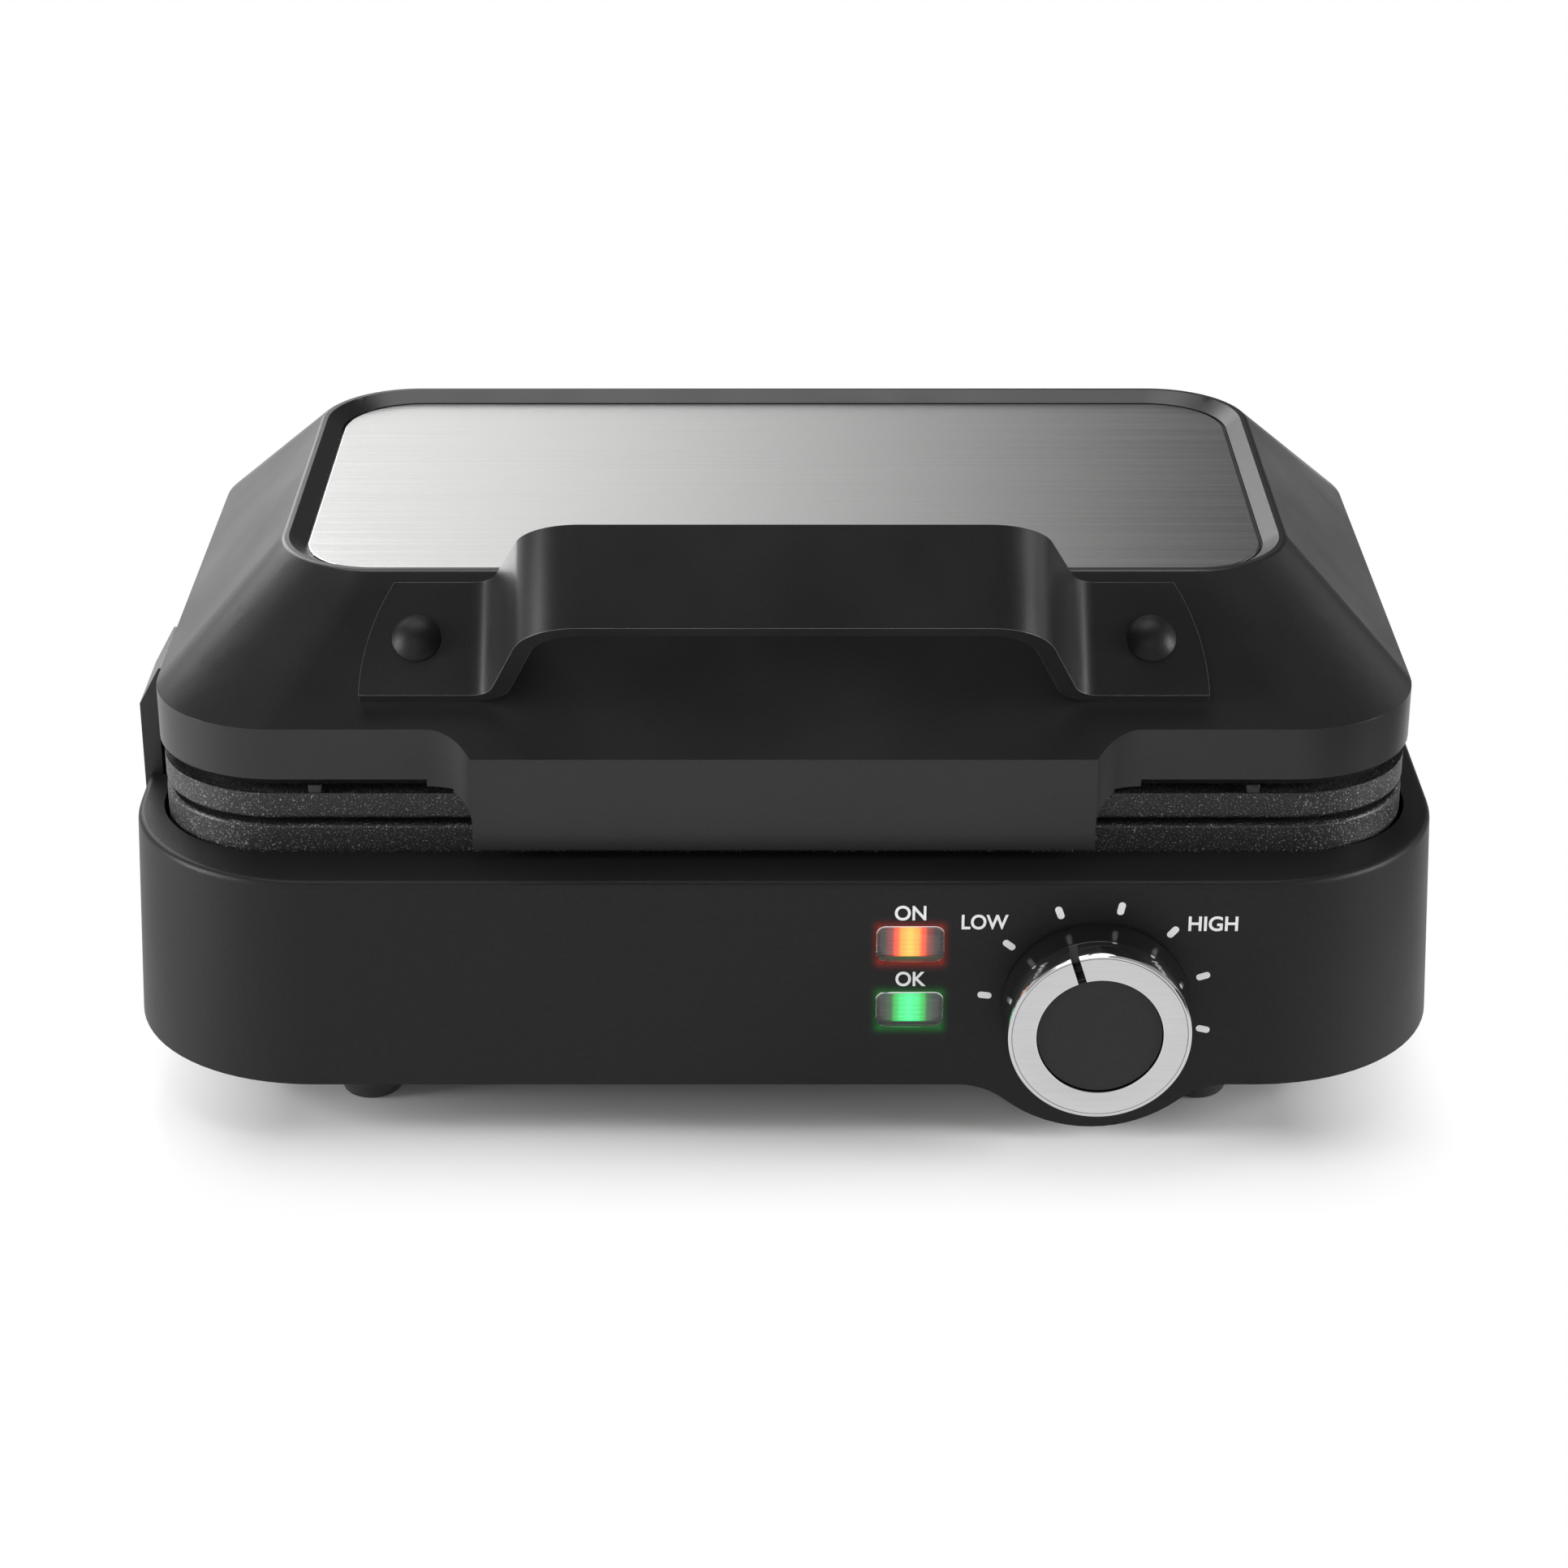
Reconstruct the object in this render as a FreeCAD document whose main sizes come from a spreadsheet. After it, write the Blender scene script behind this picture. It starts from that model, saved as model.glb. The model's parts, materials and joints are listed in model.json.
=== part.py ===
import FreeCAD, Part
import math
import os
import re
import Sketcher
from FreeCAD import Rotation, Vector

# Waffle maker, closed. X runs to the right, the front faces -Y and Z is up from the table, in millimetres.
# The origin is on the table below the middle of the base.
os.makedirs("parts", exist_ok=True)
doc = FreeCAD.newDocument("waffle_maker")

# Driving sizes
DIMENSIONS = {
    "wall": 2.6,
    "fit_gap": 0.3,
    "base_width": 282.0,
    "base_height": 48.2,
    "deck_margin": 15.0,
    "base_corner": 42.0,
    "base_flare": 2.2,
    "base_edge": 1.5,
    "foot_height": 13.8,
    "foot_top_radius": 11.5,
    "foot_floor_radius": 6.15,
    "foot_inset": 50.0,
    "foot_setback": 24.0,
    "cover_thick": 2.4,
    "boss_inset": 36.0,
    "boss_setback": 11.0,
    "boss_radius": 4.0,
    "screw_radius": 1.4,
    "plate_margin": 0.8,
    "plate_corner": 27.0,
    "plate_gap": 1.3,
    "rim_height": 6.0,
    "rim_edge": 0.9,
    "rim_width": 9.0,
    "divider": 8.0,
    "cavity_depth": 9.0,
    "cavity_corner": 18.0,
    "cavity_floor": 6.0,
    "stud_height": 6.4,
    "stud_base": 20.0,
    "stud_top": 14.5,
    "opening_gap": 1.0,
    "tray_inset": 8.0,
    "tray_height": 12.0,
    "tray_sheet": 0.8,
    "tube_radius": 3.3,
    "lid_margin": 5.7,
    "lid_depth": 168.0,
    "lid_corner": 28.0,
    "skirt_rise": 15.3,
    "skirt_height": 13.1,
    "slope_rise": 26.1,
    "side_run": 26.3,
    "front_run": 24.7,
    "crest_corner": 22.0,
    "crest_edge": 1.4,
    "bevel_width": 4.0,
    "bevel_depth": 2.2,
    "panel_gap": 0.6,
    "panel_sheet": 0.8,
    "tongue_half": 65.6,
    "tongue_reach": 4.6,
    "tongue_rise": 2.6,
    "tongue_blend": 9.6,
    "tongue_wall": 3.2,
    "strap_thick": 3.8,
    "strap_foot": 6.2,
    "strap_width": 25.4,
    "strap_end_low": 88.5,
    "strap_end_high": 82.0,
    "strap_bend": 66.0,
    "strap_angle": 74.0,
    "foot_bend": 5.5,
    "crown_bend": 14.0,
    "bar_height": 38.0,
    "bar_taper": 2.0,
    "rivet_side": 77.1,
    "rivet_along": 19.0,
    "rivet_radius": 5.35,
    "rivet_dome": 2.7,
    "shank_radius": 2.2,
    "knob_side": 66.0,
    "knob_height": 32.8,
    "knob_radius": 20.1,
    "knob_gap": 0.5,
    "knob_skirt": 8.0,
    "knob_reach": 13.5,
    "ring_outer": 19.4,
    "ring_inner": 13.3,
    "cap_drop": 0.5,
    "pointer_width": 1.8,
    "pointer_angle": 17.7,
    "shaft_radius": 3.0,
    "running_gap": 0.08,
    "chin_radius": 29.4,
    "chin_blend": 16.0,
    "chin_depth": 9.0,
    "lamp_side": 26.6,
    "lamp_upper": 47.5,
    "lamp_lower": 31.9,
    "lamp_width": 14.7,
    "lamp_height": 8.7,
    "lamp_corner": 2.2,
    "lamp_depth": 9.0,
    "hinge_side": 78.0,
    "hinge_inset": 8.0,
    "hinge_rise": 6.65,
    "knuckle_radius": 6.0,
    "knuckle_width": 12.0,
    "ear_thick": 5.0,
    "pin_radius": 2.5,
    "latch_along": 32.0,
    "latch_length": 24.0,
    "latch_thick": 4.2,
    "latch_drop": 5.0,
    "latch_rise": 25.2,
    "latch_out": 1.0,
    "latch_pin_radius": 1.2,
    "gland_inset": 51.0,
    "gland_height": 30.0,
    "gland_reach": 13.5,
    "gland_bore": 3.6,
}
# Sizes that follow from the ones above, so that lid, plates, feet and screws keep to the base
FOLLOWERS = {
    "base_depth": "=lid_depth + 2 * deck_margin",
    "lid_width": "=base_width - 2 * lid_margin",
    "plate_width": "=lid_width - 2 * plate_margin",
    "plate_depth": "=lid_depth - 2 * plate_margin",
    "crest_width": "=lid_width - 2 * side_run",
    "crest_depth": "=lid_depth - 2 * front_run",
    "foot_side": "=base_width / 2 - foot_inset",
    "foot_along": "=base_depth / 2 - foot_setback",
    "boss_side": "=base_width / 2 - boss_inset",
    "boss_along": "=base_depth / 2 - boss_setback",
    "gland_side": "=base_width / 2 - gland_inset",
}
SIZES = DIMENSIONS | FOLLOWERS
sheet = doc.addObject("Spreadsheet::Sheet", "dims")
for row, (alias, number) in enumerate(SIZES.items(), start=1):
    sheet.set(f"A{row}", alias)
    sheet.set(f"B{row}", str(number))
    sheet.setAlias(f"B{row}", alias)
doc.recompute()

# Levels and lines that several pieces share, written as expressions of the driving sizes
DECK = "(foot_height + base_height)"
FRONT = "(-base_depth / 2)"
BACK = "(base_depth / 2)"
COVER_TOP = "(foot_height + cover_thick)"
RIM_TOP = f"({DECK} + rim_height)"
PLATE_BOTTOM = f"({RIM_TOP} - cavity_depth - cavity_floor)"
UPPER_FACE = f"({RIM_TOP} + plate_gap)"
PLATE_TOP = f"({UPPER_FACE} + cavity_depth + cavity_floor)"
SKIRT_BOTTOM = f"({DECK} + skirt_rise)"
SKIRT_TOP = f"({SKIRT_BOTTOM} + skirt_height)"
CREST = f"({SKIRT_TOP} + slope_rise)"
PANEL_SEAT = f"({CREST} - bevel_depth - panel_sheet)"
ROOF = f"({PANEL_SEAT} - wall)"
SIDE_INSET = "((lid_width - crest_width) / 2)"
FRONT_INSET = "((lid_depth - crest_depth) / 2)"
SLOPE = f"atan(slope_rise / {FRONT_INSET})"
HINGE_Y = f"({BACK} - hinge_inset)"
HINGE_Z = f"({DECK} + hinge_rise)"
LATCH_X = "(-base_width / 2 + 1.3)"
LATCH_Z = f"({DECK} - latch_drop)"
TRAY_BOTTOM = f"({PLATE_BOTTOM} - tray_height)"
TRAY_TOP = f"({PLATE_TOP} + tray_height)"
PARTS = {}


def value(text):
    """The number that an expression stands for."""
    answer = sheet.evalExpression(text)
    return float(getattr(answer, "Value", answer))


def linked(text):
    """The expression as an object outside the sheet reads it."""
    return re.sub(r"\b[a-z_]+\b", lambda word: f"dims.{word.group()}" if word.group() in SIZES
                  else word.group(), text)


def bind(thing, field, text):
    thing.setExpression(field, linked(text))


def new_body(label):
    body = doc.addObject("PartDesign::Body", label)
    body.Label = label
    PARTS[label] = body
    return body


def turned(vector):
    return math.atan2(vector.y, vector.x)


def arc_between(start, end, radius, turn):
    """The short arc from start to end, turning left when turn is 1 and right when it is -1."""
    chord = end - start
    across = Vector(-chord.y, chord.x, 0).normalize()
    rise = math.sqrt(max(radius * radius - chord.Length * chord.Length / 4, 0))
    centre = (start + end) * 0.5 + across * (rise * turn)
    first, second = (start, end) if turn > 0 else (end, start)
    begin = turned(first - centre)
    finish = turned(second - centre)
    if finish < begin:
        finish += 2 * math.pi
    return Part.ArcOfCircle(Part.Circle(centre, Vector(0, 0, 1), radius), begin, finish)


def pin_point(sketch, geometry, spot, x, y):
    """Hold one point of a sketch at two expressions."""
    for kind, text in (("DistanceX", x), ("DistanceY", y)):
        index = sketch.addConstraint(Sketcher.Constraint(kind, -1, 1, geometry, spot, value(text)))
        sketch.renameConstraint(index, f"c{index}")
        bind(sketch, f"Constraints.c{index}", text)


def hold_radius(sketch, geometry, text):
    index = sketch.addConstraint(Sketcher.Constraint("Radius", geometry, value(text)))
    sketch.renameConstraint(index, f"c{index}")
    bind(sketch, f"Constraints.c{index}", text)


def draw_path(sketch, points, closed):
    """Lines and arcs through points (x, y), or (x, y, radius, turn) where an arc leaves the point."""
    spots = [Vector(value(point[0]), value(point[1]), 0) for point in points]
    count = len(points) if closed else len(points) - 1
    joins = []
    for step in range(count):
        start = spots[step]
        end = spots[(step + 1) % len(spots)]
        if len(points[step]) == 2:
            geometry = sketch.addGeometry(Part.LineSegment(start, end), False)
            joins.append((geometry, 1, 2))
        else:
            radius, turn = points[step][2:]
            geometry = sketch.addGeometry(arc_between(start, end, value(radius), turn), False)
            joins.append((geometry, 1, 2) if turn > 0 else (geometry, 2, 1))
    for step, (geometry, first, last) in enumerate(joins):
        if closed or step + 1 < count:
            follower = joins[(step + 1) % count]
            sketch.addConstraint(Sketcher.Constraint("Coincident", geometry, last, follower[0], follower[1]))
        pin_point(sketch, geometry, first, points[step][0], points[step][1])
        if len(points[step]) > 2:
            hold_radius(sketch, geometry, points[step][2])
    if not closed:
        pin_point(sketch, joins[-1][0], joins[-1][2], points[-1][0], points[-1][1])


def draw(body, plane, loops, lift="0", closed=True):
    """A sketch on one of the body's own planes, with a loop for each outline or circle (x, y, radius)."""
    sketch = body.newObject("Sketcher::SketchObject", "outline")
    support = [item for item in body.Origin.OriginFeatures if item.Role == plane][0]
    sketch.AttachmentSupport = [(support, "")]
    sketch.MapMode = "FlatFace"
    bind(sketch, "AttachmentOffset.Base.z", lift)
    for loop in loops:
        if isinstance(loop, tuple):
            centre = Vector(value(loop[0]), value(loop[1]), 0)
            geometry = sketch.addGeometry(Part.Circle(centre, Vector(0, 0, 1), value(loop[2])), False)
            pin_point(sketch, geometry, 3, loop[0], loop[1])
            hold_radius(sketch, geometry, loop[2])
        else:
            draw_path(sketch, loop, closed)
    doc.recompute()
    return sketch


def round_rect(left, right, low, high, corner):
    """A rectangle with round corners, from its four sides."""
    return [(f"{left} + {corner}", low), (f"{right} - {corner}", low, corner, 1),
            (right, f"{low} + {corner}"), (right, f"{high} - {corner}", corner, 1),
            (f"{right} - {corner}", high), (f"{left} + {corner}", high, corner, 1),
            (left, f"{high} - {corner}"), (left, f"{low} + {corner}", corner, 1)]


def centred(width, depth, corner):
    return round_rect(f"-({width}) / 2", f"({width}) / 2", f"-({depth}) / 2", f"({depth}) / 2", f"({corner})")


def rect(left, right, low, high):
    return [(left, low), (right, low), (right, high), (left, high)]


def pad(body, sketch, length, back=False, even=False):
    feature = body.newObject("PartDesign::Pad", "pad")
    feature.Profile = sketch
    feature.Reversed = back
    feature.Midplane = even
    bind(feature, "Length", length)
    doc.recompute()
    return feature


def pocket(body, sketch, length, back=False, even=False):
    feature = body.newObject("PartDesign::Pocket", "pocket")
    feature.Profile = sketch
    feature.Reversed = back
    feature.Midplane = even
    bind(feature, "Length", length)
    doc.recompute()
    return feature


def loft(body, kind, first, second):
    feature = body.newObject(f"PartDesign::{kind}Loft", "loft")
    feature.Profile = first
    feature.Sections = [second]
    feature.Ruled = True
    doc.recompute()
    return feature


def soften(body, kind, size, chosen):
    """Round or bevel the edges of the body's last feature that the test chooses."""
    base = body.Tip
    edges = enumerate(base.Shape.Edges, start=1)
    names = [f"Edge{number}" for number, edge in edges if chosen(edge.BoundBox)]
    feature = body.newObject(f"PartDesign::{kind}", "edge")
    feature.Base = (base, names)
    bind(feature, "Radius" if kind == "Fillet" else "Size", size)
    doc.recompute()
    return feature


def at_level(text):
    level = value(text)
    return lambda box: abs(box.ZMin - level) < 0.01 and abs(box.ZMax - level) < 0.01


def place(thing, x, y, z, axis=None, angle="0"):
    """Bind where a piece stands, and how far it is turned about an axis."""
    if axis is not None:
        thing.Placement.Rotation = Rotation(axis, value(angle))
        bind(thing, "Placement.Rotation.Angle", angle)
    for letter, text in zip("xyz", (x, y, z)):
        bind(thing, f"Placement.Base.{letter}", text)
    return thing


def cylinder(radius, length, x, y, z, axis=None, angle="0"):
    shape = doc.addObject("Part::Cylinder", "rod")
    bind(shape, "Radius", radius)
    bind(shape, "Height", length)
    return place(shape, x, y, z, axis, angle)


def cone(low, high, length, x, y, z, axis=None, angle="0"):
    shape = doc.addObject("Part::Cone", "cone")
    bind(shape, "Radius1", low)
    bind(shape, "Radius2", high)
    bind(shape, "Height", length)
    return place(shape, x, y, z, axis, angle)


def box(x_size, y_size, z_size, x, y, z):
    shape = doc.addObject("Part::Box", "block")
    for field, text in (("Length", x_size), ("Width", y_size), ("Height", z_size)):
        bind(shape, field, text)
    return place(shape, x, y, z)


def joined(shapes):
    union = doc.addObject("Part::MultiFuse", "union")
    union.Shapes = shapes
    return union


def minus(base, tool):
    rest = doc.addObject("Part::Cut", "rest")
    rest.Base = base
    rest.Tool = tool
    return rest


def group(shapes):
    """Several separate solids kept as one piece."""
    cluster = doc.addObject("Part::Compound", "cluster")
    cluster.Links = shapes
    return cluster


def keep(label, shape):
    shape.Label = label
    PARTS[label] = shape
    doc.recompute()
    return shape


def corners(side, along):
    return [(f"{sx} * {side}", f"{sy} * {along}") for sx in ("-1", "1") for sy in ("-1", "1")]


def base_outline(extra, inset):
    """Outline of the base where its walls stand out by one distance and in by another."""
    side = f"(base_width / 2 + {extra} - {inset})"
    return round_rect(f"(-{side})", side, f"({FRONT} + {inset})", f"({BACK} + {extra} - {inset})",
                      f"(base_corner - {inset})")


def chin_outline():
    """Round lip below the knob, blended into the lower edge of the front wall."""
    drop = "(knob_height - foot_height + chin_blend)"
    reach = f"sqrt((chin_radius + chin_blend)^2 - {drop}^2)"
    share = "(chin_radius / (chin_radius + chin_blend))"
    touch_z = f"knob_height - {drop} * {share}"
    left = f"knob_side - {reach}"
    right = f"knob_side + {reach}"
    return [(left, "foot_height", "chin_blend", -1),
            (f"knob_side - {reach} * {share}", touch_z, "chin_radius", 1),
            ("knob_side", "knob_height - chin_radius", "chin_radius", 1),
            (f"knob_side + {reach} * {share}", touch_z, "chin_blend", -1), (right, "foot_height"),
            (right, "foot_height + wall"), (left, "foot_height + wall")]


def lamp_outline(level, gap):
    half = f"(lamp_width / 2 - {gap})"
    tall = f"(lamp_height / 2 - {gap})"
    return round_rect(f"(lamp_side - {half})", f"(lamp_side + {half})",
                      f"({level} - {tall})", f"({level} + {tall})",
                      f"(lamp_corner - {gap})")


def make_base_housing():
    """Outer shell of the base, with its lip, windows, bosses and the notch for the side latch."""
    body = new_body("base_housing")
    shoulder = f"({DECK} - base_edge)"
    low = draw(body, "XY_Plane", [base_outline("base_flare", "0")], "foot_height")
    high = draw(body, "XY_Plane", [base_outline("0", "0")], shoulder)
    loft(body, "Additive", low, high)
    for step in ("0", "30", "60"):
        ring = [draw(body, "XY_Plane", [base_outline("0", f"(base_edge * (1 - cos({angle})))")],
                     f"{shoulder} + base_edge * sin({angle})") for angle in (step, f"({step} + 30)")]
        loft(body, "Additive", *ring)
    low = draw(body, "XY_Plane", [base_outline("base_flare", "wall")], "foot_height")
    high = draw(body, "XY_Plane", [base_outline("0", "wall")], f"{DECK} - wall")
    loft(body, "Subtractive", low, high)
    opening = centred("plate_width + 2 * opening_gap", "plate_depth + 2 * opening_gap",
                      "plate_corner + opening_gap")
    pocket(body, draw(body, "XY_Plane", [opening], DECK), "3 * wall")
    pad(body, draw(body, "XZ_Plane", [chin_outline()], f"-({FRONT})"), "chin_depth", back=True)
    bosses = [(x, y, "boss_radius") for x, y in corners("boss_side", "boss_along")]
    pad(body, draw(body, "XY_Plane", bosses, COVER_TOP), f"{DECK} - wall / 2 - {COVER_TOP}")
    pilots = [(x, y, "screw_radius + 0.05") for x, y in corners("boss_side", "boss_along")]
    pocket(body, draw(body, "XY_Plane", pilots, COVER_TOP), "16", back=True)
    windows = [lamp_outline("lamp_upper", "0"), lamp_outline("lamp_lower", "0"),
               ("knob_side", "knob_height", "shaft_radius + 2")]
    pocket(body, draw(body, "XZ_Plane", windows, f"-({FRONT}) + 1"), "wall + 2")
    inner = "(-plate_width / 2 - opening_gap - 0.3)"
    block = rect("(-base_width / 2 + 0.6)", inner, "-latch_along - latch_length / 2 - 4",
                 "-latch_along + latch_length / 2 + 4")
    pad(body, draw(body, "XY_Plane", [block], f"{DECK} - 2 * latch_drop"), "2 * latch_drop - wall / 2")
    notch = rect("(-base_width / 2 - 4)", f"({inner} - 1.3)", "-latch_along - latch_length / 2 - 0.6",
                 "-latch_along + latch_length / 2 + 0.6")
    pocket(body, draw(body, "XY_Plane", [notch], f"{DECK} + 1"), "1.6 * latch_drop + 1")
    pivot = draw(body, "XZ_Plane", [(LATCH_X, LATCH_Z, "latch_pin_radius + 0.05")], "latch_along")
    pocket(body, pivot, "latch_length + 10", even=True)
    gland = draw(body, "XZ_Plane", [("-gland_side", "gland_height", "gland_bore + 2.4")], f"-({BACK}) - 6")
    pocket(body, gland, "wall + 10", back=True)


def make_bottom_cover():
    """Floor plate inside the base wall, with tray pillars, vent slots and holes for feet and screws."""
    body = new_body("bottom_cover")
    side = "(base_width / 2 + base_flare - wall - 2 * fit_gap)"
    sheet_line = round_rect(f"(-{side})", side, f"({FRONT} + wall + fit_gap)",
                            f"({BACK} + base_flare - wall - 2 * fit_gap)", "(base_corner - wall - fit_gap)")
    pad(body, draw(body, "XY_Plane", [sheet_line], "foot_height"), "cover_thick")
    pillars = [(x, y, "5") for x, y in corners("80", "50")]
    pad(body, draw(body, "XY_Plane", pillars, "foot_height"), f"{TRAY_BOTTOM} - foot_height")
    chin = rect("knob_side - chin_radius - 8", "knob_side + chin_radius + 8", f"{FRONT}",
                f"({FRONT} + chin_depth + 2 * fit_gap)")
    pocket(body, draw(body, "XY_Plane", [chin], COVER_TOP), "2 * cover_thick")
    holes = [(x, y, "3.6") for x, y in corners("foot_side", "foot_along")]
    holes += [(x, y, "screw_radius + 0.3") for x, y in corners("boss_side", "boss_along")]
    pocket(body, draw(body, "XY_Plane", holes, COVER_TOP), "2 * cover_thick")
    sinks = [(x, y, "3.2") for x, y in corners("boss_side", "boss_along")]
    pocket(body, draw(body, "XY_Plane", sinks, "foot_height"), "1.2", back=True)
    for x in ("(-52)", "(-40)", "(-28)", "(-16)", "(-4)", "8", "20"):
        slots = [round_rect(f"{x} - 2.5", f"{x} + 2.5", f"{y} - 22", f"{y} + 22", "2.4")
                 for y in ("(-25)", "25")]
        pocket(body, draw(body, "XY_Plane", slots, COVER_TOP), "2 * cover_thick")


def make_feet():
    sides = {"left": "-foot_side", "right": "foot_side"}
    ends = {"front": "-foot_along", "rear": "foot_along"}
    for end, along in ends.items():
        for side, across in sides.items():
            pad_cone = cone("foot_floor_radius", "foot_top_radius", "foot_height", across, along, "0")
            stem = cylinder("3.4", "foot_height + cover_thick + 1.5", across, along, "0")
            keep(f"foot_{end}_{side}", joined([pad_cone, stem]))


def screw(head, head_height, length, x, y, z, axis=None, angle="0"):
    """A screw that stands on its head at the given point."""
    return joined([cylinder(head, head_height, x, y, z, axis, angle),
                   cylinder("screw_radius", length, x, y, z, axis, angle)])


def make_cover_screws():
    keep("cover_screws", group([screw("3", "1.1", "cover_thick + 12", x, y, "foot_height")
                                for x, y in corners("boss_side", "boss_along")]))


def make_plate(label, face, way):
    """Waffle plate with a visible rim, two round-cornered cavities and rows of tapered studs."""
    body = new_body(label)
    down = way < 0
    rim = "rim_height + 3" if down else "rim_height"
    total = "cavity_depth + cavity_floor"
    outline = centred("plate_width", "plate_depth", "plate_corner")
    pad(body, draw(body, "XY_Plane", [outline], face), rim, back=down)
    soften(body, "Fillet", "rim_edge", at_level(face))
    core = centred("plate_width - 10", "plate_depth - 10", "plate_corner - 5")
    pad(body, draw(body, "XY_Plane", [core], face), total, back=down)
    edge = "(plate_width / 2 - rim_width)"
    deep = "(plate_depth / 2 - rim_width)"
    cavities = [round_rect("divider / 2", edge, f"-{deep}", deep, "cavity_corner"),
                round_rect(f"-{edge}", "-divider / 2", f"-{deep}", deep, "cavity_corner")]
    pocket(body, draw(body, "XY_Plane", cavities, face), "cavity_depth", back=not down)
    floor = f"{face} + ({way}) * cavity_depth"
    tip = f"{face} + ({way}) * (cavity_depth - stud_height)"
    pitch_x = f"(({edge} - divider / 2) / 4)"
    pitch_y = f"({deep} * 2 / 5)"
    first_x = f"(divider / 2 + {pitch_x} / 2)"
    first_y = f"({pitch_y} / 2 - {deep})"
    low = draw(body, "XY_Plane", [rect(f"{first_x} - stud_base / 2", f"{first_x} + stud_base / 2",
                                       f"{first_y} - stud_base / 2", f"{first_y} + stud_base / 2")], floor)
    high = draw(body, "XY_Plane", [rect(f"{first_x} - stud_top / 2", f"{first_x} + stud_top / 2",
                                        f"{first_y} - stud_top / 2", f"{first_y} + stud_top / 2")], tip)
    stud = loft(body, "Additive", low, high)
    pattern = body.newObject("PartDesign::MultiTransform", "studs")
    pattern.Originals = [stud]
    rows = body.newObject("PartDesign::LinearPattern", "across")
    rows.Direction = (low, ["H_Axis"])
    bind(rows, "Length", f"3 * {pitch_x}")
    rows.Occurrences = 4
    lines = body.newObject("PartDesign::LinearPattern", "along")
    lines.Direction = (low, ["V_Axis"])
    bind(lines, "Length", f"4 * {pitch_y}")
    lines.Occurrences = 5
    twin = body.newObject("PartDesign::Mirrored", "twin")
    twin.MirrorPlane = (low, ["V_Axis"])
    pattern.Transformations = [rows, lines, twin]
    body.Tip = pattern
    doc.recompute()


def make_tray(label, start, inset, down):
    """Thin reflector tray whose open side meets the back of a waffle plate."""
    body = new_body(label)
    width = f"plate_width - 2 * {inset}"
    depth = f"plate_depth - 2 * {inset}"
    corner = f"plate_corner - {inset}"
    pad(body, draw(body, "XY_Plane", [centred(width, depth, corner)], start), "tray_height", back=down)
    hollow = centred(f"{width} - 2 * tray_sheet", f"{depth} - 2 * tray_sheet", f"{corner} - tray_sheet")
    pocket(body, draw(body, "XY_Plane", [hollow], start), "tray_height - tray_sheet", back=not down)


def make_element(label, level, half_x, half_y):
    """Heater tube bent to a loop that is open at the rear."""
    body = new_body(label)
    bend = "18"
    path = [("-22", half_y), (f"-({half_x} - {bend})", half_y, bend, 1), (f"-{half_x}", f"{half_y} - {bend}"),
            (f"-{half_x}", f"-({half_y} - {bend})", bend, 1), (f"-({half_x} - {bend})", f"-{half_y}"),
            (f"{half_x} - {bend}", f"-{half_y}", bend, 1), (half_x, f"-({half_y} - {bend})"),
            (half_x, f"{half_y} - {bend}", bend, 1), (f"{half_x} - {bend}", half_y), ("22", half_y)]
    spine = draw(body, "XY_Plane", [path], level, closed=False)
    ring = draw(body, "YZ_Plane", [(half_y, level, "tube_radius")], "-22")
    tube = body.newObject("PartDesign::AdditivePipe", "tube")
    tube.Profile = ring
    tube.Spine = (spine, [])
    doc.recompute()


def make_saddles(label, half_x, level, height):
    """Small blocks between a heater tube and its tray."""
    keep(label, group([box("8", "8", height, f"{x} - 4", f"{y} - 4", level)
                       for x, y in corners(half_x, "20")]))


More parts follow.
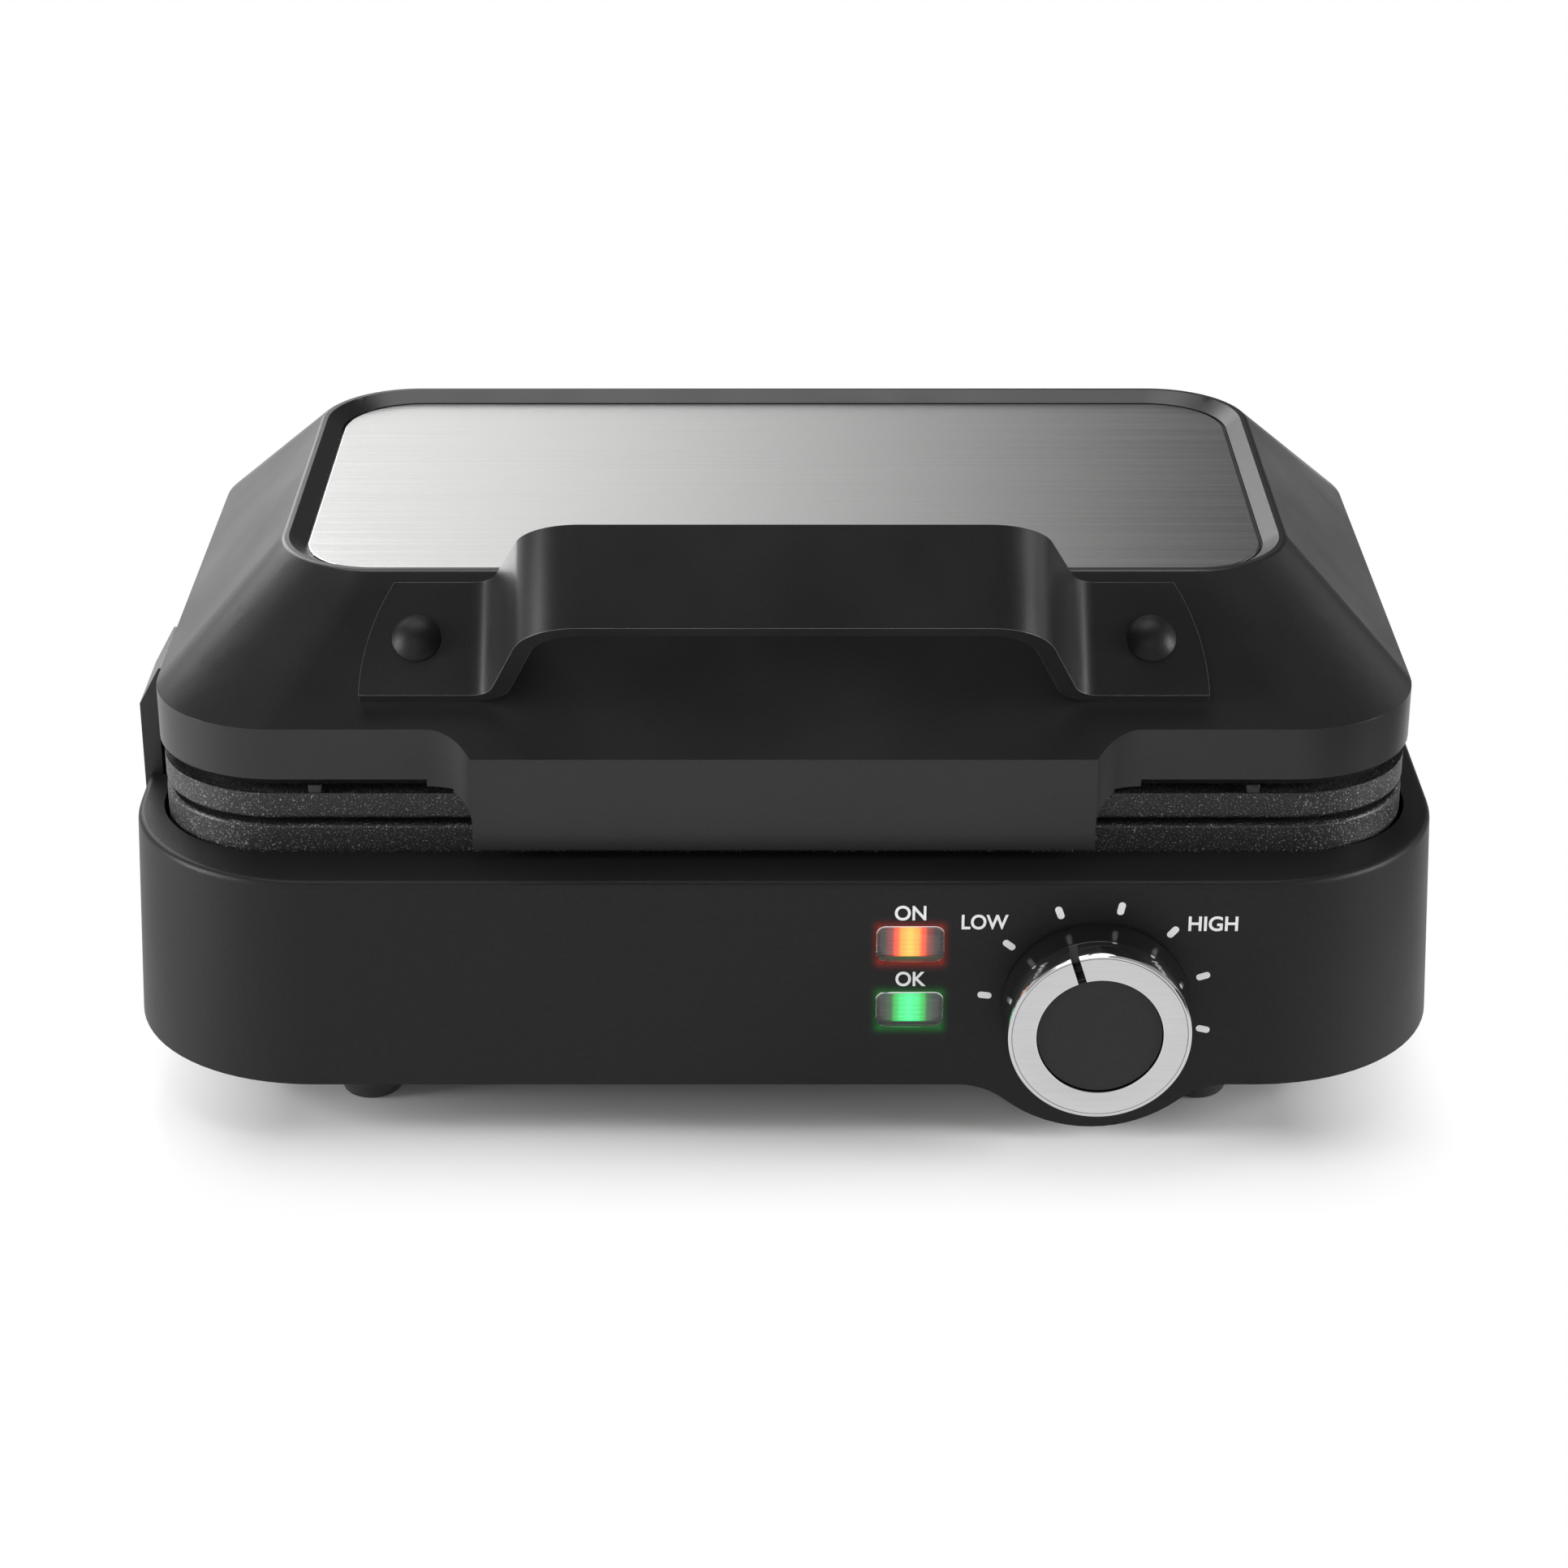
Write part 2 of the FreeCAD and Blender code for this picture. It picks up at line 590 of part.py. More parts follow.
def make_lid_housing():
    """Upper shell: skirt, four slopes, front tongue, panel recess and posts for the upper tray."""
    body = new_body("lid_housing")
    skirt = centred("lid_width", "lid_depth", "lid_corner")
    crest = centred("crest_width", "crest_depth", "crest_corner")
    pad(body, draw(body, "XY_Plane", [skirt], SKIRT_BOTTOM), "skirt_height")
    soften(body, "Chamfer", "1.6", at_level(SKIRT_BOTTOM))
    loft(body, "Additive", draw(body, "XY_Plane", [skirt], SKIRT_TOP), draw(body, "XY_Plane", [crest], CREST))
    soften(body, "Fillet", "crest_edge", at_level(CREST))
    brow = "(-lid_depth / 2 - tongue_reach)"
    blend = "(tongue_half + tongue_blend)"
    inside = "(-lid_depth / 2 + wall)"
    bulge = "((tongue_blend^2 + tongue_reach^2) / (2 * tongue_reach))"
    plan = [(f"-{blend}", "-lid_depth / 2", bulge, -1), ("-tongue_half", brow),
            ("tongue_half", brow, bulge, -1),
            (blend, "-lid_depth / 2"), (blend, inside), (f"-{blend}", inside)]
    bottom = f"({DECK} + tongue_rise)"
    pad(body, draw(body, "XY_Plane", [plan], bottom), f"{SKIRT_TOP} - {bottom}")
    steep = f"(slope_rise / {FRONT_INSET})"
    wedge = [("-lid_depth / 2", SKIRT_TOP), ("-lid_depth / 2", f"{SKIRT_TOP} + 2"),
             (f"{brow} - 2", f"{SKIRT_TOP} + 2"),
             (f"{brow} - 2", f"{SKIRT_TOP} - (tongue_reach + 2) * {steep}")]
    pocket(body, draw(body, "YZ_Plane", [wedge]), "lid_width", even=True)
    turn = "7"
    for way, spin in (("1", -1), ("-1", 1)):
        side = [(f"{way} * tongue_half", f"{bottom} - 2"),
                (f"{way} * tongue_half", f"{SKIRT_BOTTOM} - {turn}", turn, spin),
                (f"{way} * (tongue_half + {turn})", SKIRT_BOTTOM), (f"{way} * ({blend} + 4)", SKIRT_BOTTOM),
                (f"{way} * ({blend} + 4)", f"{bottom} - 2")]
        profile = draw(body, "XZ_Plane", [side], "lid_depth / 2 + tongue_reach + 2")
        pocket(body, profile, "tongue_reach + wall + 4")
    back_line = "(-lid_depth / 2 - tongue_reach + tongue_wall)"
    hollow = rect(f"-{blend} - 6", f"{blend} + 6", back_line, "0")
    pocket(body, draw(body, "XY_Plane", [hollow], SKIRT_BOTTOM), f"{SKIRT_BOTTOM} - {bottom} + 1")
    inner = centred("lid_width - 2 * wall", "lid_depth - 2 * wall", "lid_corner - wall")
    shoulder = f"({SKIRT_TOP} - 0.4 * wall)"
    pocket(body, draw(body, "XY_Plane", [inner], SKIRT_BOTTOM), f"{shoulder} - {SKIRT_BOTTOM}", back=True)
    spread_x = f"(({CREST} - {ROOF}) * {SIDE_INSET} / slope_rise - 1.4 * wall)"
    spread_y = f"(({CREST} - {ROOF}) * {FRONT_INSET} / slope_rise - 1.4 * wall)"
    roof = centred(f"crest_width + 2 * {spread_x}", f"crest_depth + 2 * {spread_y}", "crest_corner")
    loft(body, "Subtractive", draw(body, "XY_Plane", [inner], shoulder), draw(body, "XY_Plane", [roof], ROOF))
    mouth = centred("crest_width - 2 * crest_edge", "crest_depth - 2 * crest_edge",
                    "crest_corner - crest_edge")
    seat_w = "crest_width - 2 * (bevel_width + crest_edge / 2)"
    seat_d = "crest_depth - 2 * (bevel_width + crest_edge / 2)"
    seat = centred(seat_w, seat_d, "crest_corner - bevel_width")
    ledge = f"({CREST} - bevel_depth)"
    loft(body, "Subtractive", draw(body, "XY_Plane", [mouth], CREST), draw(body, "XY_Plane", [seat], ledge))
    pocket(body, draw(body, "XY_Plane", [seat], ledge), "panel_sheet")
    posts = [(x, y, "4.5") for x, y in corners("70", "35")]
    pad(body, draw(body, "XY_Plane", posts, TRAY_TOP), f"{ROOF} + wall / 2 - {TRAY_TOP}")
    slot = rect("-lid_width / 2 - 2", "-lid_width / 2 + wall + 1", "-latch_along - latch_length / 2 - 1",
                "-latch_along + latch_length / 2 + 1")
    pocket(body, draw(body, "XY_Plane", [slot], f"{SKIRT_TOP} - 2"), "9")
    places = [(f"{way} * rivet_side", "rivet_along", "shank_radius + 0.1") for way in ("-1", "1")]
    holes = draw(body, "XY_Plane", places)
    holes.AttachmentOffset.Rotation = Rotation(Vector(1, 0, 0), value(SLOPE))
    bind(holes, "AttachmentOffset.Rotation.Angle", SLOPE)
    bind(holes, "AttachmentOffset.Base.y", "-lid_depth / 2")
    bind(holes, "AttachmentOffset.Base.z", SKIRT_TOP)
    doc.recompute()
    pocket(body, holes, "6 * wall", even=True)


def make_steel_panel():
    body = new_body("steel_panel")
    inset = "(bevel_width + crest_edge / 2 + panel_gap)"
    line = centred(f"crest_width - 2 * {inset}", f"crest_depth - 2 * {inset}",
                   "crest_corner - bevel_width - panel_gap")
    pad(body, draw(body, "XY_Plane", [line], PANEL_SEAT), "panel_sheet")
    soften(body, "Fillet", "panel_sheet / 2", at_level(f"{PANEL_SEAT} + panel_sheet"))


def on_slope(thing, side, along):
    """Stand a piece on the front slope of the lid, at a distance up the slope."""
    place(thing, side, f"-lid_depth / 2 + ({along}) * cos({SLOPE})",
          f"{SKIRT_TOP} + ({along}) * sin({SLOPE})",
          Vector(1, 0, 0), SLOPE)


def strap_side(way, sine, cosine, crown_x):
    """Points of one end of the strap, from the bar down to the foot along the top and back below."""
    foot_z = "(strap_thick + foot_bend)"
    crown_z = "(bar_height - crown_bend)"
    thin = "(crown_bend - strap_thick)"
    thick = "(foot_bend + strap_thick)"
    return [(f"{way} * {crown_x}", "bar_height", "crown_bend", -1),
            (f"{way} * ({crown_x} + crown_bend * {sine})", f"{crown_z} + crown_bend * {cosine}"),
            (f"{way} * (strap_bend - foot_bend * {sine})", f"{foot_z} - foot_bend * {cosine}", "foot_bend", 1),
            (f"{way} * strap_bend", "strap_thick"), (f"{way} * (strap_end_low + 2)", "strap_thick"),
            (f"{way} * (strap_end_low + 2)", "0"), (f"{way} * strap_bend", "0", thick, -1),
            (f"{way} * (strap_bend - {thick} * {sine})", f"{foot_z} - {thick} * {cosine}"),
            (f"{way} * ({crown_x} + {thin} * {sine})", f"{crown_z} + {thin} * {cosine}", thin, 1),
            (f"{way} * {crown_x}", "bar_height - strap_thick")]


def reversed_path(points):
    """The same path drawn the other way round."""
    path = []
    for step in range(len(points) - 1, -1, -1):
        arc = points[step - 1][2:] if step > 0 else ()
        path.append(points[step][:2] + ((arc[0], -arc[1]) if arc else ()))
    return path


def make_handle():
    """Bent strap with a flat foot at each end, drawn flat and then stood on the slope."""
    body = new_body("handle")
    sine = "sin(strap_angle)"
    cosine = "cos(strap_angle)"
    climb = f"(bar_height - crown_bend - strap_thick - foot_bend + (crown_bend + foot_bend) * {cosine})"
    crown_x = f"(strap_bend - (foot_bend + crown_bend) * {sine} - {climb} / tan(strap_angle))"
    right = strap_side("1", sine, cosine, crown_x)
    other = strap_side("-1", sine, cosine, crown_x)
    left = [(x, y, arc[0], -arc[1]) if arc else (x, y) for x, y, *arc in other]
    profile = draw(body, "XZ_Plane", [right + reversed_path(left)], "-strap_foot")
    pad(body, profile, "strap_width", back=True)
    high = "(strap_foot + strap_width)"
    for way, turn in (("1", 1), ("-1", -1)):
        end = [(f"{way} * (strap_end_low + 0.4)", "strap_foot - 1", "52", turn),
               (f"{way} * (strap_end_high - 0.4)", f"{high} + 1"),
               (f"{way} * (strap_end_low + 9)", f"{high} + 1"),
               (f"{way} * (strap_end_low + 9)", "strap_foot - 1")]
        pocket(body, draw(body, "XY_Plane", [end], "strap_thick + 1"), "strap_thick + 2")
    shave = [("strap_foot - 3", "strap_thick"), ("strap_foot", "strap_thick"),
             ("strap_foot + bar_taper", "bar_height + 1"), ("strap_foot - 3", "bar_height + 1")]
    rear = [(f"{high} + 3", "strap_thick"), (f"{high} + 3", "bar_height + 1"),
            (f"{high} - bar_taper / 2", "bar_height + 1"), (high, "strap_thick")]
    pocket(body, draw(body, "YZ_Plane", [shave, rear]), "2.2 * strap_end_low", even=True)
    holes = [(f"{way} * rivet_side", "rivet_along", "shank_radius + 0.1") for way in ("-1", "1")]
    pocket(body, draw(body, "XY_Plane", holes, "strap_thick + 1"), "strap_thick + 2")
    on_slope(body, "0", "0")


def make_rivets():
    """Domed caps on the strap's feet, each with a shank through the lid wall."""
    ball = "((rivet_radius^2 + rivet_dome^2) / (2 * rivet_dome))"
    for side, across in (("left", "-rivet_side"), ("right", "rivet_side")):
        body = new_body(f"handle_rivet_{side}")
        half = [("0", "strap_thick + rivet_dome", ball, -1), ("rivet_radius", "strap_thick"),
                ("shank_radius", "strap_thick"), ("shank_radius", "-wall - 3"), ("0", "-wall - 3")]
        turn = body.newObject("PartDesign::Revolution", "turn")
        turn.Profile = draw(body, "XZ_Plane", [half])
        turn.ReferenceAxis = (turn.Profile[0], ["V_Axis"])
        doc.recompute()
        on_slope(body, across, "rivet_along")


def make_knob():
    """Black knob body, metal front ring with a pointer slot, centre cap and the shaft they turn on."""
    ahead = Vector(1, 0, 0)
    start = f"{FRONT} - knob_gap"
    skirt = f"{FRONT} - knob_skirt"
    face = f"{FRONT} - knob_reach"
    middle = ("knob_side", start, "knob_height", ahead, "90")
    flange = cone("knob_radius", "ring_outer + 0.2", "knob_skirt - knob_gap", *middle)
    hub = cylinder("ring_inner - 0.1", "knob_reach - knob_gap - cap_drop - 1.5", *middle)
    bore = cylinder("shaft_radius + 0.02", "knob_skirt", "knob_side", f"{start} + 1", "knob_height",
                    ahead, "90")
    keep("knob_body", minus(joined([flange, hub]), bore))
    sleeve = cone("ring_outer + 0.2", "ring_outer", "knob_reach - knob_skirt", "knob_side", skirt,
                  "knob_height", ahead, "90")
    hole = cylinder("ring_inner", "knob_reach", "knob_side", f"{skirt} + 1", "knob_height", ahead, "90")
    slot = box("pointer_width", "knob_reach", "ring_outer + 3", "0", "0", "0")
    slot.Placement.Rotation = Rotation(Vector(0, 1, 0), -value("pointer_angle"))
    place(slot, "knob_side - pointer_width / 2 * cos(pointer_angle)", f"{face} - 1",
          "knob_height - pointer_width / 2 * sin(pointer_angle)")
    keep("knob_ring", minus(minus(sleeve, hole), slot))
    cap = cylinder("ring_inner - 0.15", "1.5", "knob_side", f"{face} + cap_drop + 1.5", "knob_height",
                   ahead, "90")
    keep("knob_cap", cap)
    shaft = cylinder("shaft_radius", "knob_skirt + 8", "knob_side", f"{FRONT} + 9", "knob_height",
                     ahead, "90")
    keep("thermostat_shaft", shaft)


def make_thermostat():
    block = box("30", "16", "26", "knob_side - 15", f"{FRONT} + wall", "knob_height - 13")
    bore = cylinder("shaft_radius + running_gap", "30", "knob_side", f"{FRONT} + 20", "knob_height",
                    Vector(1, 0, 0), "90")
    keep("thermostat", minus(block, bore))


def make_lamps():
    """Two window lenses, a lamp behind each, and the board that carries the lamps."""
    for label, level in (("power_lamp", "lamp_upper"), ("ready_lamp", "lamp_lower")):
        lens = new_body(f"{label}_lens")
        sketch = draw(lens, "XZ_Plane", [lamp_outline(level, "0.15")], f"-({FRONT}) + 0.4")
        pad(lens, sketch, "lamp_depth", back=True)
        bulb = cylinder("2.2", "6", "lamp_side", f"{FRONT} + lamp_depth + 6.6", level,
                        Vector(1, 0, 0), "90")
        keep(f"{label}_bulb", bulb)
    board = box("22", "1.6", "34", "lamp_side - 11", f"{FRONT} + lamp_depth + 6.6", "lamp_lower - 9")
    arm = box("4", "lamp_depth + 6.6 - wall", "5", "lamp_side - 15 + 4", f"{FRONT} + wall",
              "lamp_lower + 5.5")
    keep("lamp_board", joined([board, arm]))


def make_supply():
    """Cord gland in the rear wall, terminal block on the floor and thermal fuse under the tray."""
    back = Vector(1, 0, 0)
    tail = f"{BACK} + gland_reach"
    flange = cylinder("gland_bore + 5", "3", "-gland_side", f"{BACK} + base_flare + 3.2", "gland_height",
                      back, "90")
    barrel = cylinder("gland_bore + 2.2", "gland_reach + wall + 3", "-gland_side", tail, "gland_height",
                      back, "90")
    bore = cylinder("gland_bore", "gland_reach + wall + 20", "-gland_side", f"{tail} + 5", "gland_height",
                    back, "90")
    keep("cord_gland", minus(joined([flange, barrel]), bore))
    keep("terminal_block", box("34", "18", "14", "-62", "52", COVER_TOP))
    keep("thermal_fuse", box("16", "6", "5", "20", "10", f"{TRAY_BOTTOM} - 5"))


def make_hinges():
    """Base brackets, lid arms and the two pins that the lid swings on."""
    across = Vector(0, 1, 0)
    half = "(knuckle_width / 2 + 0.4)"
    for side, way in (("left", "-1"), ("right", "1")):
        body = new_body(f"hinge_bracket_{side}")
        front = f"({HINGE_Y} - knuckle_radius)"
        ear = [(front, HINGE_Z), (front, DECK), (BACK, DECK), (BACK, f"{DECK} + 4"),
               (f"{HINGE_Y} + knuckle_radius", HINGE_Z, "knuckle_radius * 1.0001", 1),
               (HINGE_Y, f"{HINGE_Z} + knuckle_radius", "knuckle_radius * 1.0001", 1)]
        width = f"(2 * ear_thick + 2 * {half})"
        pad(body, draw(body, "YZ_Plane", [ear], f"{way} * hinge_side"), width, even=True)
        gap = rect(front + " - 1", f"{HINGE_Y} + knuckle_radius + 0.6", f"{DECK} - 1", f"{HINGE_Z} + 9")
        pocket(body, draw(body, "YZ_Plane", [gap], f"{way} * hinge_side"), f"2 * {half}", even=True)
        bore = draw(body, "YZ_Plane", [(HINGE_Y, HINGE_Z, "pin_radius + 0.05")], f"{way} * hinge_side")
        pocket(body, bore, f"{width} + 4", even=True)
        arm = new_body(f"hinge_arm_{side}")
        knuckle = draw(arm, "YZ_Plane", [(HINGE_Y, HINGE_Z, "knuckle_radius")], f"{way} * hinge_side")
        pad(arm, knuckle, "knuckle_width", even=True)
        blade = rect("lid_depth / 2", f"{HINGE_Y} - 1", HINGE_Z, f"{SKIRT_TOP} - 2")
        pad(arm, draw(arm, "YZ_Plane", [blade], f"{way} * hinge_side"), "knuckle_width", even=True)
        bore = draw(arm, "YZ_Plane", [(HINGE_Y, HINGE_Z, "pin_radius + running_gap")], f"{way} * hinge_side")
        pocket(arm, bore, "knuckle_width + 4", even=True)
        start = f"{way} * hinge_side - {width} / 2"
        shank = cylinder("pin_radius", width, start, HINGE_Y, HINGE_Z, across, "90")
        heads = [cylinder("pin_radius + 1.2", "1.2", place_x, HINGE_Y, HINGE_Z, across, "90")
                 for place_x in (f"{start} - 1.2", f"{start} + {width}")]
        keep(f"hinge_pin_{side}", joined([shank] + heads))


def make_side_latch():
    """Lever on the left edge that can hold the lid shut, with its pivot pin."""
    body = new_body("side_latch")
    outer = "(-base_width / 2 - latch_out)"
    inner = f"({outer} + latch_thick)"
    lip = "(-lid_width / 2 - 0.6)"
    top = f"({DECK} + latch_rise)"
    line = [(outer, LATCH_Z), (inner, LATCH_Z), (inner, f"{top} - 8"), (lip, f"{top} - 6"), (lip, top),
            (f"{lip} - 1.4", top), (outer, f"{top} - 8.5")]
    pad(body, draw(body, "XZ_Plane", [line], "latch_along"), "latch_length", even=True)
    knuckle = (f"{outer} + latch_thick / 2", LATCH_Z, "latch_thick / 2")
    pad(body, draw(body, "XZ_Plane", [knuckle], "latch_along"), "latch_length", even=True)
    bore = (LATCH_X, LATCH_Z, "latch_pin_radius + 0.05")
    pocket(body, draw(body, "XZ_Plane", [bore], "latch_along"), "latch_length + 2", even=True)
    front = "-latch_along + latch_length / 2 + 4"
    keep("latch_pin", cylinder("latch_pin_radius", "latch_length + 8", LATCH_X, front, LATCH_Z,
                               Vector(1, 0, 0), "90"))


def write_parts():
    """Check every object and write each piece to its own file."""
    doc.recompute()
    for item in doc.Objects:
        if "Invalid" in item.State or "Error" in item.State:
            raise RuntimeError(f"{item.Label} {item.Name} {item.State}")
    for label, item in PARTS.items():
        if item.Shape.isNull() or not item.Shape.isValid():
            raise RuntimeError(f"{label} has no valid shape")
        item.Shape.exportStep(f"parts/{label}.step")


make_base_housing()
make_bottom_cover()
make_feet()
make_cover_screws()
make_plate("lower_waffle_plate", RIM_TOP, -1)
make_plate("upper_waffle_plate", UPPER_FACE, 1)
make_tray("lower_reflector", PLATE_BOTTOM, "tray_inset", True)
make_tray("upper_reflector", PLATE_TOP, "(2 * tray_inset)", False)
make_element("lower_heating_element", f"{PLATE_BOTTOM} - fit_gap - tube_radius", "104", "56")
make_element("upper_heating_element", f"{PLATE_TOP} + fit_gap + tube_radius", "94", "48")
make_saddles("lower_element_saddles", "104", f"{TRAY_BOTTOM} + tray_sheet",
             "tray_height - tray_sheet - 2 * tube_radius - 2 * fit_gap")
make_saddles("upper_element_saddles", "94", f"{PLATE_TOP} + 2 * tube_radius + 2 * fit_gap",
             "tray_height - tray_sheet - 2 * tube_radius - 2 * fit_gap")
make_lid_housing()
make_steel_panel()
make_handle()
make_rivets()
make_knob()
make_thermostat()
make_lamps()
make_supply()
make_hinges()
make_side_latch()
write_parts()
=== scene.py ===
# %% [markdown]
# # A closed waffle maker
# The solids of the waffle maker come in as a fixed frame. This lesson gives them a camera, soft light,
# rolled edges, real finishes and the small printed and moulded details. All sizes are in metres.

# %% Load the frame
import json
import math
import bpy
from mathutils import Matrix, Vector

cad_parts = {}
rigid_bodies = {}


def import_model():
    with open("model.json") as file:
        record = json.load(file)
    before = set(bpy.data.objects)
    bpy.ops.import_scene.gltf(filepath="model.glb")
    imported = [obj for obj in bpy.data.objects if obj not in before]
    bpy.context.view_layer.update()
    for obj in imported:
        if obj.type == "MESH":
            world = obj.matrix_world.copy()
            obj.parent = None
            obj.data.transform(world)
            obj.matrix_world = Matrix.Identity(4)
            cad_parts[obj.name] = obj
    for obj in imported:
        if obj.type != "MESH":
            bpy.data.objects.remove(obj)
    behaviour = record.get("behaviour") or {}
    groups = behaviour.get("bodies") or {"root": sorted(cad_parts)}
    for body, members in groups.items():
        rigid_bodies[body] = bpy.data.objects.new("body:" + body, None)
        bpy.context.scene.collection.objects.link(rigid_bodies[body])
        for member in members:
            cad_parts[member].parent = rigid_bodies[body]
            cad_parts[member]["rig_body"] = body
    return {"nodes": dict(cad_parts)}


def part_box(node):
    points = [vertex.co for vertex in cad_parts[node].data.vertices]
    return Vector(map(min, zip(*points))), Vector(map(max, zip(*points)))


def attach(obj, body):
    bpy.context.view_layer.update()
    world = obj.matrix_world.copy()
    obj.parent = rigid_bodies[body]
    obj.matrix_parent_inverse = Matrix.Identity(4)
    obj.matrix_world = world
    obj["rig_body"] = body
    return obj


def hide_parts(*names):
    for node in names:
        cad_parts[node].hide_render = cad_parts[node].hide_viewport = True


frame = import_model()
bpy.ops.object.select_all(action="DESELECT")
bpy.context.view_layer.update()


# %% [markdown]
# ## Places taken from the frame
# The knob, the lamp windows and the front panel already have their places in the solids. Reading them from
# the boxes of those solids, instead of writing them again, keeps every printed detail on what carries it.

# %% Places taken from the frame
def centre_of(node):
    low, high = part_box(node)
    return (low + high) / 2


KNOB = centre_of("knob_cap")
POWER_WINDOW = centre_of("power_lamp_lens")
READY_WINDOW = centre_of("ready_lamp_lens")
PANEL_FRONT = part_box("base_housing")[0].y
RING_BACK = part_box("knob_ring")[1].y
print("knob at", KNOB, "panel front at", PANEL_FRONT)

# %% [markdown]
# ## Camera
# The appliance was seen from straight ahead and 25 degrees above the table. A long lens keeps the sides
# of the base almost parallel, so the camera stands about 0.9 m away with an 85 mm lens.

# %% Camera
CAMERA_PITCH = math.radians(25)
CAMERA_PLACE = (0, -0.7903, 0.4072)
CAMERA_LENS = 84.95
SENSOR_WIDTH = 36
NEAREST = 0.01

bpy.ops.object.camera_add(location=CAMERA_PLACE, rotation=(math.pi / 2 - CAMERA_PITCH, 0, 0))
camera = bpy.context.object
camera.name = "studio_camera"
camera.data.sensor_width = SENSOR_WIDTH
camera.data.sensor_fit = "HORIZONTAL"
camera.data.lens = CAMERA_LENS
camera.data.clip_start = NEAREST
bpy.context.scene.camera = camera
bpy.context.scene.view_settings.view_transform = "Standard"
print("camera height", camera.location.z)


# %% [markdown]
# ## Node helpers
# Every finish is a small node tree. These helpers add a node, do a sum on two sockets and start a material
# whose pattern reads Object coordinates, so that the pattern stays put in metres on every piece.

# %% Node helpers
def add_node(tree, kind, **settings):
    node = tree.nodes.new(kind)
    for key, setting in settings.items():
        if hasattr(node, key):
            setattr(node, key, setting)
        else:
            node.inputs[key].default_value = setting
    return node


def start_finish(name):
    finish = bpy.data.materials.new(name)
    finish.use_nodes = True
    tree = finish.node_tree
    shader = tree.nodes["Principled BSDF"]
    place = add_node(tree, "ShaderNodeTexCoord")
    return finish, tree, shader, place.outputs["Object"]


def stretched(tree, place, scale):
    mapping = add_node(tree, "ShaderNodeMapping")
    mapping.inputs["Scale"].default_value = scale
    tree.links.new(place, mapping.inputs["Vector"])
    return mapping.outputs["Vector"]


def noise(tree, place, scale, detail=2.0, roughness=0.5):
    cloud = add_node(tree, "ShaderNodeTexNoise", Scale=scale, Detail=detail, Roughness=roughness)
    tree.links.new(place, cloud.inputs["Vector"])
    return cloud.outputs["Fac"]


def remap(tree, value, low, high, to_low, to_high):
    span = add_node(tree, "ShaderNodeMapRange")
    for key, number in zip(("From Min", "From Max", "To Min", "To Max"), (low, high, to_low, to_high)):
        span.inputs[key].default_value = number
    tree.links.new(value, span.inputs["Value"])
    return span.outputs["Result"]


def combine(tree, operation, first, second):
    node = add_node(tree, "ShaderNodeMath", operation=operation)
    tree.links.new(first, node.inputs[0])
    tree.links.new(second, node.inputs[1])
    return node.outputs["Value"]


def larger(tree, first, second):
    return combine(tree, "MAXIMUM", first, second)


def times(tree, first, *others):
    product = first
    for other in others:
        product = combine(tree, "MULTIPLY", product, other)
    return product


def blend_colours(tree, factor, first, second):
    mix = add_node(tree, "ShaderNodeMix", data_type="RGBA")
    mix.inputs[6].default_value = (*first, 1)
    mix.inputs[7].default_value = (*second, 1)
    tree.links.new(factor, mix.inputs[0])
    return mix.outputs[2]


def emboss(tree, shader, height, strength, distance):
    bump = add_node(tree, "ShaderNodeBump", Strength=strength, Distance=distance)
    tree.links.new(height, bump.inputs["Height"])
    tree.links.new(bump.outputs["Normal"], shader.inputs["Normal"])


print("helpers ready")


# %% [markdown]
# ## Table and sky
# The appliance stands on a seamless white table in a white studio. A painted floor would need strong light
# to look white, so the table keeps the soft shadow near the feet and turns to plain white further out. The
# camera always sees a white studio. Reflections see one that is bright behind the appliance and on the left
# and falls off to the right and overhead, which gives the dark plastic its long gradients.

# %% Rays and distances
def rays(tree):
    path = add_node(tree, "ShaderNodeLightPath")
    mirrored = larger(tree, path.outputs["Is Glossy Ray"], path.outputs["Is Transmission Ray"])
    return path.outputs["Is Camera Ray"], larger(tree, path.outputs["Is Camera Ray"], mirrored)


def outside_box(tree, place, centre, half):
    shift = add_node(tree, "ShaderNodeVectorMath", operation="SUBTRACT")
    shift.inputs[1].default_value = centre
    tree.links.new(place, shift.inputs[0])
    size = add_node(tree, "ShaderNodeVectorMath", operation="ABSOLUTE")
    tree.links.new(shift.outputs["Vector"], size.inputs[0])
    over = add_node(tree, "ShaderNodeVectorMath", operation="SUBTRACT")
    over.inputs[1].default_value = half
    tree.links.new(size.outputs["Vector"], over.inputs[0])
    reach = add_node(tree, "ShaderNodeVectorMath", operation="MAXIMUM")
    tree.links.new(over.outputs["Vector"], reach.inputs[0])
    length = add_node(tree, "ShaderNodeVectorMath", operation="LENGTH")
    tree.links.new(reach.outputs["Vector"], length.inputs[0])
    return length.outputs["Value"]


print("ray helpers ready")

# %% Table
TABLE_SIZE = 12
TABLE_WHITE = (0.88, 0.88, 0.88, 1)
SHADOW_HALF = (0.108, 0.092, 1)
SHADOW_FADE = 0.038
DIM_SIDE = (1, -0.193, 0)
DIM_FADE = (0.21, 0.30, 1.0, 0.06)

